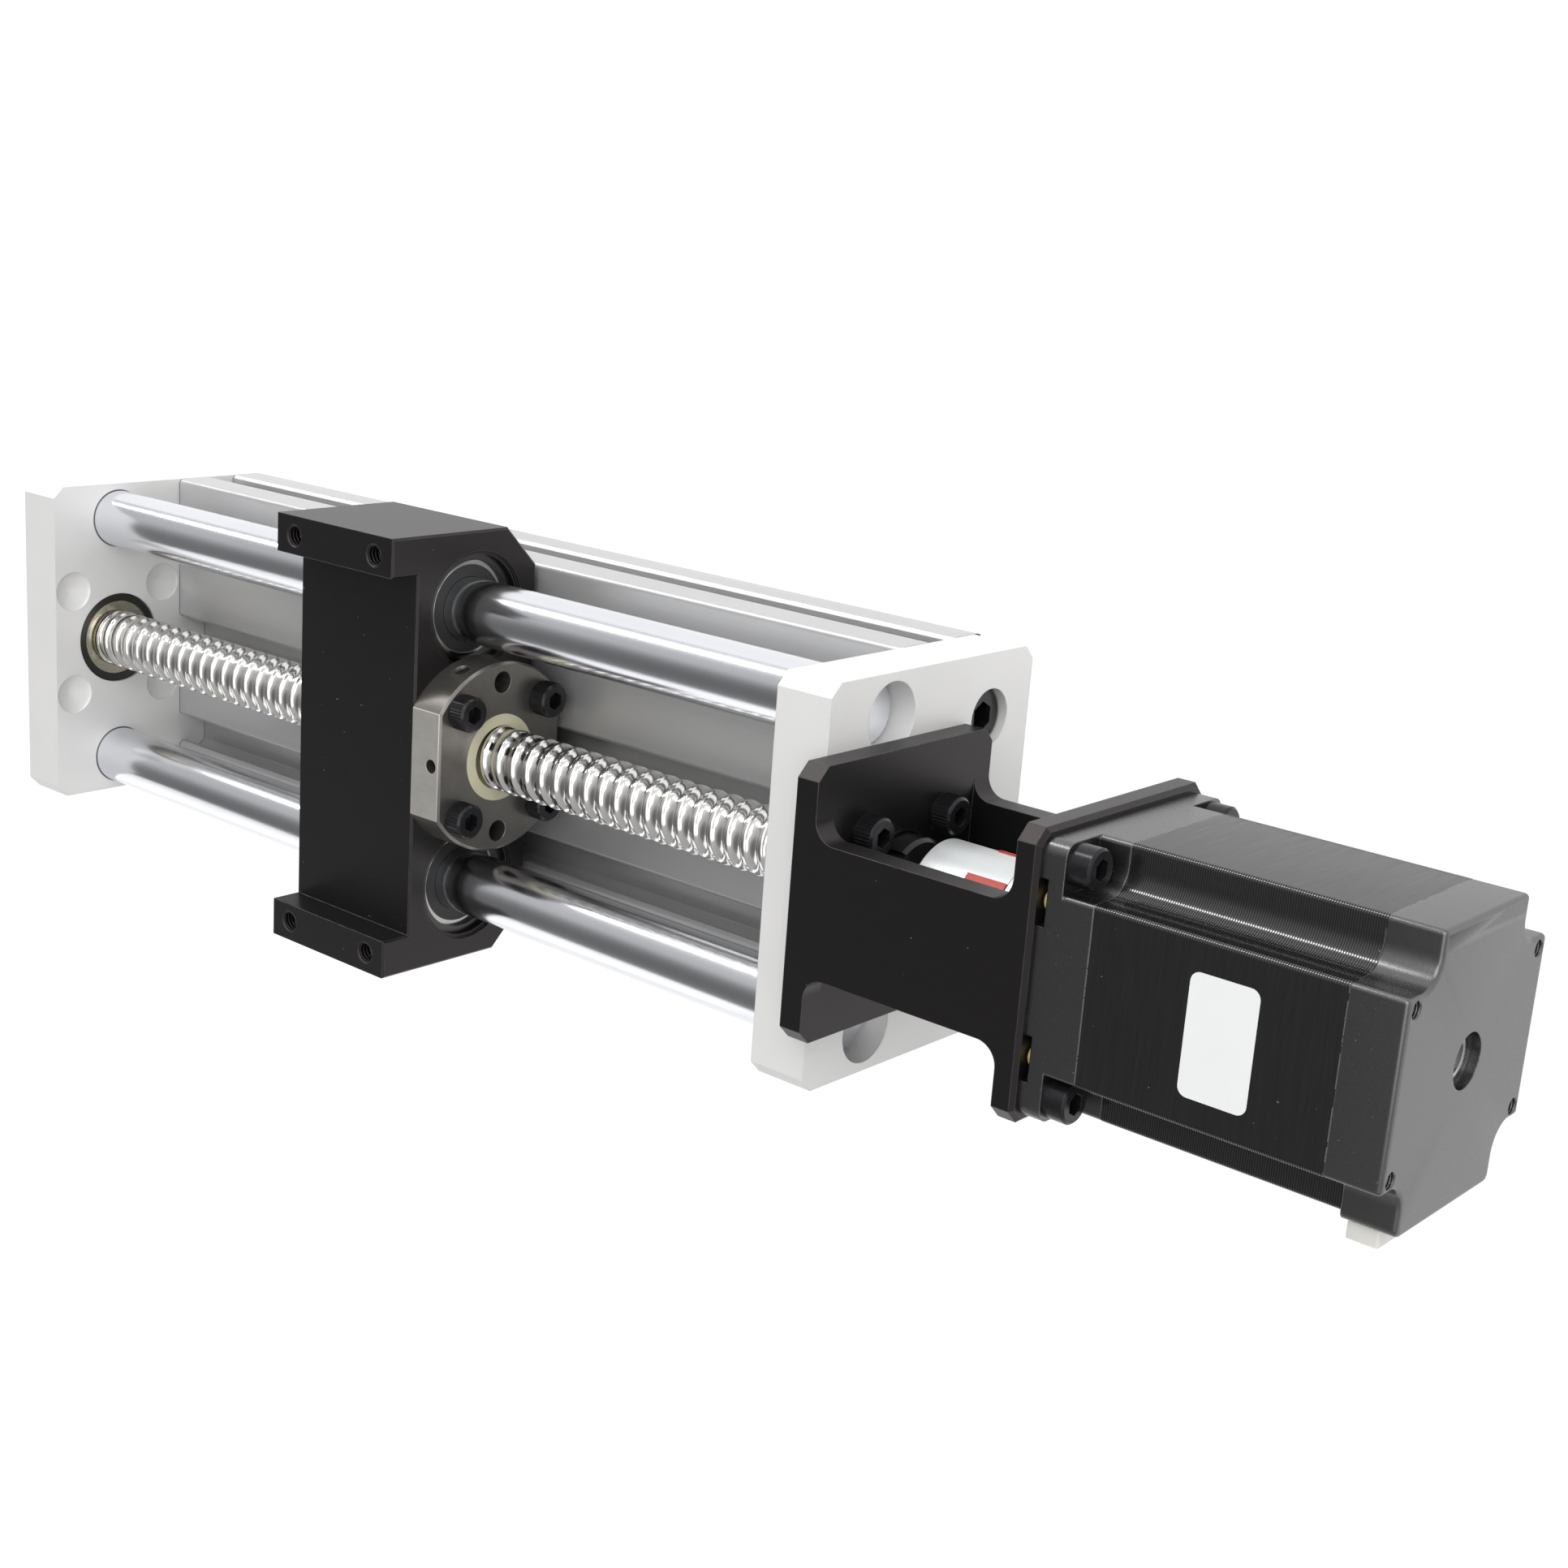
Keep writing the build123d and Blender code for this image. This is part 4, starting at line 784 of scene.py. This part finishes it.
def build_thread(graph, given):
    """Helical strip: its long way winds round the axis and its short way crosses one lead."""
    turns = given["Turns"]
    grid = graph.make(
        "GeometryNodeMeshGrid",
        {},
        {
            "Size X": turns,
            "Size Y": 1.0,
            "Vertices X": given["Steps Round"],
            "Vertices Y": given["Points Along"],
        },
    )
    here = graph.make("GeometryNodeInputPosition")
    turn = graph.make("ShaderNodeSeparateXYZ", {}, {0: here}, 0) + turns * 0.5
    phase = graph.make("ShaderNodeSeparateXYZ", {}, {0: here}, 1) + 0.5
    along = given["Start"] + given["Lead"] * (turn + phase - 1.5)
    along = along.at_least(given["Start"]).at_most(given["End"])
    off_centre = (phase - 0.5).size() * given["Lead"] / given["Groove Half Width"]
    bowl = (1.0 - off_centre * off_centre).at_least(0.0).root()
    radius = given["Radius"] - given["Groove Depth"] * bowl
    angle = turn * FULL_TURN
    place = graph.make(
        "ShaderNodeCombineXYZ",
        {},
        {0: along, 1: radius * angle.cosine(), 2: radius * angle.sine() + given["Axis Height"]},
    )
    wound = graph.make(
        "GeometryNodeSetPosition", {}, {"Geometry": grid, "Position": place}
    )
    merged = graph.make(
        "GeometryNodeMergeByDistance", {}, {"Geometry": wound, "Distance": 2 * WELD}
    )
    return graph.make("GeometryNodeFlipFaces", {}, {"Mesh": merged})


class MODULE_OT_laminations(bpy.types.Operator):
    """Stack the stator's sheets, which show in its corner notches"""

    bl_idname = "linear_module.laminations"
    bl_label = "Laminations"

    def execute(self, context):
        settings = settings_of(context)
        low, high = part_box("motor_stator")
        axis = (low.z + high.z) / 2
        half = (high.z - low.z) / 2
        pitch = settings.sheet_pitch * MM
        count = int((high.x - low.x) / pitch)
        path = notch_path(half, settings)

        def build(bm):
            for side_y, side_z in ((1, 1), (1, -1), (-1, 1), (-1, -1)):
                rings = []
                for y, z, out_y, out_z in path:
                    rim = settings.sheet_rise * MM
                    root = -SHEET_ROOT * MM
                    corners = []
                    for depth, x in (
                        (rim, 0),
                        (rim, pitch * SHEET_RIM_SHARE),
                        (root, pitch * SHEET_ROOT_SHARE),
                        (root, 0),
                    ):
                        place = Vector(
                            (x, side_y * (y + out_y * depth), axis + side_z * (z + out_z * depth))
                        )
                        corners.append(bm.verts.new(place))
                    rings.append(corners)
                for first, second in zip(rings, rings[1:]):
                    for k in range(3):
                        face = [first[k], first[k + 1], second[k + 1], second[k]]
                        bm.faces.new(face if side_y * side_z > 0 else face[::-1])

        mesh = grown(
            "sheet_stack",
            build_stack,
            "sheet_edges",
            {"Start": (low.x + pitch / 4, 0, 0), "Step": (pitch, 0, 0), "Count": count},
            mesh_of("sheet_seed", build),
        )
        smooth_round(mesh, settings.crease)
        add_piece("stator_sheets", mesh, "frame")
        return {"FINISHED"}


def notch_path(half, settings):
    """Points of the notch's outline in one quarter, each with its direction outwards."""
    flat_y = settings.notch_y * MM
    flat_z = settings.notch_z * MM
    land = settings.land_radius * MM
    hollow = settings.notch_radius * MM
    points = []
    # Each round has its centre, its radius, which is below nothing for the hollow, the quarter
    # turns at its start and end, and the number of points left out at both
    for y, z, radius, start, end, left_out in (
        (half - land, flat_z - land, land, 0, 1, 1),
        (flat_y + hollow, flat_z + hollow, -hollow, 1, 0, 0),
        (flat_y - land, half - land, land, 0, 1, 1),
    ):
        for step in range(left_out, NOTCH_STEPS + 1 - left_out):
            angle = FULL_TURN / 4 * (start + (end - start) * step / NOTCH_STEPS)
            out = (math.cos(angle), math.sin(angle))
            points.append((y + radius * out[0], z + radius * out[1], *out))
    return points


def build_stack(graph, given):
    """The seed sheet, repeated along the motor."""
    line = graph.make(
        "GeometryNodeMeshLine",
        {"mode": "OFFSET"},
        {"Count": given["Count"], "Start Location": given["Start"], "Offset": given["Step"]},
    )
    return graph.make(
        "GeometryNodeInstanceOnPoints", {}, {"Points": line, "Instance": given["Geometry"]}
    )


class MODULE_OT_knurls(bpy.types.Operator):
    """Knurl the heads of the cap screws"""

    bl_idname = "linear_module.knurls"
    bl_label = "Knurled heads"

    def execute(self, context):
        settings = settings_of(context)
        radius = settings.head_diameter / 2 * MM
        height = settings.head_height * MM
        for node, body in (
            ("bracket_screws", "frame"),
            ("nut_screws", "carriage"),
        ):
            low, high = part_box(node)

            def build(bm):
                for y in (low.y + radius, high.y - radius):
                    for z in (low.z + radius, high.z - radius):
                        bm.verts.new((high.x - height / 2 - KNURL_SHIFT * MM, y, z))

            mesh = grown(
                "knurl_" + node,
                build_knurl,
                "black_oxide",
                {
                    "Head Radius": radius - KNURL_SINK * MM,
                    "Length": height - KNURL_END_GAP * MM,
                    "Ridges": settings.knurl_ridges,
                },
                mesh_of("knurl_places", build),
            )
            add_piece("knurl_" + node, mesh, body)
        return {"FINISHED"}


def build_knurl(graph, given):
    """Ridges round a circle, with a set of them on every seed point."""
    width = given["Head Radius"] * (FULL_TURN * KNURL_SHARE) / given["Ridges"]
    ridge = graph.make(
        "GeometryNodeMeshCylinder",
        {"fill_type": "NGON"},
        {"Vertices": 3, "Radius": width * KNURL_RADIUS_SHARE, "Depth": given["Length"]},
    )
    lying = turned_over(graph, ridge, FULL_TURN / 4)
    ring = graph.make(
        "GeometryNodeMeshCircle",
        {"fill_type": "NONE"},
        {"Vertices": given["Ridges"], "Radius": given["Head Radius"]},
    )
    upright = turned_over(graph, ring, FULL_TURN / 4)
    here = graph.make("GeometryNodeInputPosition")
    turned = graph.make(
        "FunctionNodeAlignRotationToVector", {"axis": "Y"}, {"Vector": here}
    )
    crown = graph.make(
        "GeometryNodeInstanceOnPoints",
        {},
        {"Points": upright, "Instance": lying, "Rotation": turned},
    )
    return graph.make(
        "GeometryNodeInstanceOnPoints", {}, {"Points": given["Geometry"], "Instance": crown}
    )


class MODULE_OT_tapped_holes(bpy.types.Operator):
    """Cut the threads that show in the carriage's and the motor's tapped holes"""

    bl_idname = "linear_module.tapped_holes"
    bl_label = "Tapped holes"

    def execute(self, context):
        settings = settings_of(context)
        mounts = {mount["name"]: mount for mount in frame["record"]["mounts"]}
        pattern = mounts["carriage_holes"]
        half_x = pattern["dims"]["spacing_x_mm"] / 2 * MM
        half_y = pattern["dims"]["spacing_y_mm"] / 2 * MM
        x, y, z = pattern["pos_m"]
        depth = settings.tap_depth * MM
        places = [
            (x + side_x * half_x, y + side_y * half_y, z - depth + CARRIAGE_THREAD["start"] * MM)
            for side_x in (-1, 1)
            for side_y in (-1, 1)
        ]
        cut_hole_threads(
            "carriage_hole_threads", "carriage", "black_anodised", places, 0,
            pattern["dims"]["hole_r_mm"] * MM, depth, CARRIAGE_THREAD,
        )

        low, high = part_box("motor_tie_screws")
        head = settings.tie_head_diameter / 2 * MM
        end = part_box("motor_rear_cover")[1].x
        places = [
            (high.x + COVER_THREAD["start"] * MM, y, z)
            for y in (low.y + head, high.y - head)
            for z in (low.z + head, high.z - head)
        ]
        cut_hole_threads(
            "cover_hole_threads", "frame", "motor_steel", places, FULL_TURN / 4,
            settings.tie_hole_diameter / 2 * MM, end - high.x, COVER_THREAD,
        )
        return {"FINISHED"}


def cut_hole_threads(name, body, slot, places, turn, radius, depth, thread):
    """One helical ridge on the wall of every hole, its axis turned from Z by turn."""
    def build(bm):
        for place in places:
            bm.verts.new(place)

    mesh = grown(
        name,
        lambda graph, given: build_hole_thread(graph, given, turn),
        slot,
        {
            "Hole Radius": radius,
            "Pitch": thread["pitch"] * MM,
            "Length": depth - thread["short"] * MM,
            "Ridge": thread["ridge"] * MM,
        },
        mesh_of(name + "_places", build),
    )
    add_piece(name, mesh, body)


def build_hole_thread(graph, given, turn):
    """A helix of small section that starts at every seed point."""
    helix = graph.make(
        "GeometryNodeCurveSpiral",
        {},
        {
            "Resolution": HELIX_STEPS,
            "Rotations": given["Length"] / given["Pitch"],
            "Start Radius": given["Hole Radius"],
            "End Radius": given["Hole Radius"],
            "Height": given["Length"],
        },
    )
    section = graph.make(
        "GeometryNodeCurvePrimitiveCircle",
        {"mode": "RADIUS"},
        {"Resolution": RIDGE_STEPS, "Radius": given["Ridge"]},
    )
    ridge = graph.make(
        "GeometryNodeCurveToMesh",
        {},
        {"Curve": helix, "Profile Curve": section, "Fill Caps": True},
    )
    turned = turned_over(graph, ridge, turn)
    return graph.make(
        "GeometryNodeInstanceOnPoints", {}, {"Points": given["Geometry"], "Instance": turned}
    )


class MODULE_OT_sticker(bpy.types.Operator):
    """Stick a blank label on the motor's side"""

    bl_idname = "linear_module.sticker"
    bl_label = "Blank label"

    def execute(self, context):
        settings = settings_of(context)
        low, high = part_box("motor_stator")
        start = low.x + settings.sticker_from_cover * MM
        centre = Vector((start + settings.sticker_width / 2 * MM, LABEL_ASIDE * MM, high.z))
        half_x = settings.sticker_width / 2 * MM
        half_y = settings.sticker_length / 2 * MM
        corner = settings.sticker_corner * MM

        def build(bm):
            rim = []
            for quarter, (side_x, side_y) in enumerate(((1, 1), (-1, 1), (-1, -1), (1, -1))):
                for step in range(CORNER_STEPS + 1):
                    angle = FULL_TURN / 4 * (quarter + step / CORNER_STEPS)
                    offset = Vector((math.cos(angle), math.sin(angle), 0)) * corner
                    middle = Vector((side_x * (half_x - corner), side_y * (half_y - corner), 0))
                    rim.append(centre + middle + offset)
            top = [bm.verts.new(p + Vector((0, 0, LABEL_THICKNESS * MM))) for p in rim]
            under = [bm.verts.new(p) for p in rim]
            bm.faces.new(top)
            bm.faces.new(under[::-1])
            for k in range(len(rim)):
                n = (k + 1) % len(rim)
                bm.faces.new((top[k], under[k], under[n], top[n]))

        mesh = mesh_of("blank_label", build)
        mesh.materials.append(finish_of("sticker"))
        add_piece("blank_label", mesh, "frame")
        return {"FINISHED"}


class MODULE_OT_stage(bpy.types.Operator):
    """Set up the floor, the soft light and the camera"""

    bl_idname = "linear_module.stage"
    bl_label = "Stage"

    def execute(self, context):
        scene = context.scene
        settings = settings_of(context)
        reach = settings.floor_reach
        low = CAD_BOX[0].z

        def build(bm):
            corners = [(-reach, -reach), (reach, -reach), (reach, reach), (-reach, reach)]
            bm.faces.new([bm.verts.new((x, y, low - FLOOR_GAP * MM)) for x, y in corners])

        floor = bpy.data.objects.new("floor", mesh_of("floor", build))
        scene.collection.objects.link(floor)
        floor.data.materials.append(floor_finish())

        hang_lamps(scene, settings)
        scene.world = soft_room()
        scene.camera = photo_camera(scene)
        scene.view_settings.view_transform = "Standard"
        return {"FINISHED"}


def hang_lamps(scene, settings):
    """The soft lamps, each turned towards what it lights."""
    for name, (place, target, sides, power) in LAMPS.items():
        data = bpy.data.lights.new(name, "AREA")
        data.shape = "RECTANGLE"
        data.size, data.size_y = sides
        data.energy = getattr(settings, power)
        lamp = bpy.data.objects.new(name, data)
        lamp.location = place
        aim = Vector(target) - Vector(place)
        lamp.rotation_mode = "QUATERNION"
        lamp.rotation_quaternion = aim.to_track_quat("-Z", "Y")
        scene.collection.objects.link(lamp)


def soft_room():
    """World of a room that is light on one side: white to the camera, grey to the module."""
    world = bpy.data.worlds.new("soft_room")
    world.use_nodes = True
    room = Graph(world.node_tree)
    direction = room.make("ShaderNodeTexCoord", output="Generated")
    parts = [room.make("ShaderNodeSeparateXYZ", {}, {0: direction}, k) for k in range(3)]
    side = parts[0] * BRIGHT_SIDE[0] + parts[1] * BRIGHT_SIDE[1] + BRIGHT_SHIFT
    tent = room.make("ShaderNodeValToRGB", {"stops": ROOM_STOPS}, {0: side * 0.5 + 0.5})
    aside = 1.0 - (parts[0] * DARK_SKY[0] + parts[1] * DARK_SKY[1] + parts[2] * DARK_SKY[2])
    shade = room.make("ShaderNodeValToRGB", {"stops": SKY_STOPS}, {0: aside})
    seen = room.make("ShaderNodeLightPath", output="Is Camera Ray")
    sky = room.blend(seen, tent * shade, (1, 1, 1, 1))
    background = room.make("ShaderNodeBackground", {}, {"Color": sky, "Strength": 1.0})
    room.make("ShaderNodeOutputWorld", {}, {"Surface": background})
    return world


def photo_camera(scene):
    """Camera with the photograph's place, roll, focal length and centre."""
    data = bpy.data.cameras.new("photo_camera")
    data.sensor_width = SENSOR
    data.lens = FOCAL_PIXELS * SENSOR / PHOTO_SIDE
    data.shift_x = (PHOTO_SIDE / 2 - CENTRE_PIXELS[0]) / PHOTO_SIDE
    data.shift_y = (CENTRE_PIXELS[1] - PHOTO_SIDE / 2) / PHOTO_SIDE
    data.clip_start = NEAR_CLIP
    camera = bpy.data.objects.new("photo_camera", data)
    turn = Matrix(
        (Vector(CAMERA_RIGHT), -Vector(CAMERA_DOWN), -Vector(CAMERA_FORWARD))
    ).transposed()
    camera.matrix_world = Matrix.Translation(CAMERA_PLACE) @ turn.to_4x4()
    scene.collection.objects.link(camera)
    return camera


def floor_finish():
    """Pale floor: nearly white to the camera, and it keeps a soft shadow."""
    f = Finish("pale_floor")
    wash = f.noise(0.004, 2)
    colour = f.blend(wash, (0.84, 0.84, 0.84, 1), (0.88, 0.88, 0.88, 1))
    matte = f.make("ShaderNodeBsdfDiffuse", {}, {"Color": colour})
    white = f.make("ShaderNodeEmission", {}, {"Color": (1, 1, 1, 1), "Strength": FLOOR_WHITE})
    camera = f.make("ShaderNodeLightPath", output="Is Camera Ray")
    glossy = f.make("ShaderNodeLightPath", output="Is Glossy Ray")
    through = f.make("ShaderNodeLightPath", output="Is Transmission Ray")
    share = camera * FLOOR_SEEN + (glossy + through).at_most(1.0) * FLOOR_MIRRORED
    mixed = f.make("ShaderNodeMixShader", {}, {0: share, 1: matte, 2: white})
    f.make("ShaderNodeOutputMaterial", {}, {"Surface": mixed})
    return f.material


# Settings and panel

class LinearModuleSettings(bpy.types.PropertyGroup):
    """Sizes in millimetres and colours of the dressed module"""

    silver: FloatVectorProperty(
        name="Base colour", description="Colour of the extrusion", subtype="COLOR",
        default=(0.66, 0.66, 0.66),
    )
    plate: FloatVectorProperty(
        name="Plate colour", description="Colour of the end plates", subtype="COLOR",
        default=(0.86, 0.855, 0.845),
    )
    black: FloatVectorProperty(
        name="Anodised black", description="Colour of the carriage and bracket", subtype="COLOR",
        default=(0.0052, 0.0050, 0.0053),
    )
    motor: FloatVectorProperty(
        name="Motor colour", description="Colour of the motor's lacquer", subtype="COLOR",
        default=(0.0072, 0.0072, 0.0078),
    )
    red: FloatVectorProperty(
        name="Spider colour", description="Colour of the coupling's spider", subtype="COLOR",
        default=(0.5, 0.022, 0.01),
    )
    crease: FloatProperty(
        name="Crease", description="Edges sharper than this many degrees stay sharp", default=30
    )
    thread_crease: FloatProperty(
        name="Thread crease", description="The same for the screw's thread", default=55
    )
    screw_diameter: FloatProperty(
        name="Screw diameter", description="Outer diameter of the thread, mm", default=16.0
    )
    lead: FloatProperty(name="Lead", description="Travel for one turn, mm", default=5.0)
    groove_width: FloatProperty(
        name="Groove width", description="Width of the ball groove, mm", default=3.7
    )
    groove_depth: FloatProperty(
        name="Groove depth", description="Depth of the ball groove, mm", default=0.9
    )
    thread_steps: IntProperty(
        name="Steps round", description="Points of the thread round one turn", default=60
    )
    thread_points: IntProperty(
        name="Points along", description="Points of the thread along one lead", default=20
    )
    sheet_pitch: FloatProperty(
        name="Sheet pitch", description="Thickness of one lamination, mm", default=0.5
    )
    sheet_rise: FloatProperty(
        name="Sheet rise", description="Rise of a sheet's edge over the lacquer, mm", default=0.1
    )
    notch_y: FloatProperty(
        name="Notch across", description="Motor axis to the notch along Y, mm", default=18.2
    )
    notch_z: FloatProperty(
        name="Notch height", description="Motor axis to the notch along Z, mm", default=17.2
    )
    notch_radius: FloatProperty(
        name="Notch radius", description="Hollow corner of the notch, mm", default=5.5
    )
    land_radius: FloatProperty(
        name="Land radius", description="Rounding where a flat meets a notch, mm", default=1.0
    )
    head_diameter: FloatProperty(
        name="Head diameter", description="Cap screw head, mm", default=8.5
    )
    head_height: FloatProperty(
        name="Head height", description="Cap screw head, mm", default=5.0
    )
    tap_depth: FloatProperty(
        name="Tap depth", description="Threaded depth of the carriage holes, mm", default=13.5
    )
    tie_head_diameter: FloatProperty(
        name="Tie screw head", description="Head of the motor's long screws, mm", default=4.6
    )
    tie_hole_diameter: FloatProperty(
        name="Tie screw hole", description="Tapped hole in the rear cover, mm", default=3.2
    )
    knurl_ridges: IntProperty(
        name="Knurl ridges", description="Ridges round one screw head", default=36
    )
    sticker_from_cover: FloatProperty(
        name="Label place", description="From the front cover to the label, mm", default=21.6
    )
    sticker_width: FloatProperty(
        name="Label width", description="Along the travel, mm", default=14.2
    )
    sticker_length: FloatProperty(
        name="Label length", description="Across the travel, mm", default=24.2
    )
    sticker_corner: FloatProperty(
        name="Label corner", description="Corner radius, mm", default=2.0
    )
    floor_reach: FloatProperty(
        name="Floor", description="Half the floor's side", default=8.0, unit="LENGTH"
    )
    key_power: FloatProperty(name="Key light", description="Power in watts", default=9.6)
    front_power: FloatProperty(name="Front light", description="Power in watts", default=3.6)
    fill_power: FloatProperty(name="Fill light", description="Power in watts", default=2.2)
    strip_power: FloatProperty(name="Strip light", description="Power in watts", default=7.5)


PIECES = (
    MODULE_OT_finishes,
    MODULE_OT_smooth_shading,
    MODULE_OT_ball_screw,
    MODULE_OT_laminations,
    MODULE_OT_knurls,
    MODULE_OT_tapped_holes,
    MODULE_OT_sticker,
    MODULE_OT_stage,
)


class VIEW3D_PT_linear_module(bpy.types.Panel):
    """Panel of the linear module"""

    bl_label = "Linear Module"
    bl_category = "Linear Module"
    bl_space_type = "VIEW_3D"
    bl_region_type = "UI"

    def draw(self, context):
        column = self.layout.column()
        for piece in PIECES:
            column.operator(piece.bl_idname)
        for key in LinearModuleSettings.__annotations__:
            column.prop(settings_of(context), key)


def register():
    for item in (LinearModuleSettings, *PIECES, VIEW3D_PT_linear_module):
        bpy.utils.register_class(item)
    bpy.types.Scene.linear_module = PointerProperty(type=LinearModuleSettings)


def unregister():
    del bpy.types.Scene.linear_module
    for item in (VIEW3D_PT_linear_module, *reversed(PIECES), LinearModuleSettings):
        bpy.utils.unregister_class(item)


def main():
    register()
    bpy.ops.linear_module.finishes()
    bpy.ops.linear_module.smooth_shading()
    bpy.ops.linear_module.ball_screw()
    bpy.ops.linear_module.laminations()
    bpy.ops.linear_module.knurls()
    bpy.ops.linear_module.tapped_holes()
    bpy.ops.linear_module.sticker()
    bpy.ops.linear_module.stage()


if __name__ == "__main__":
    main()
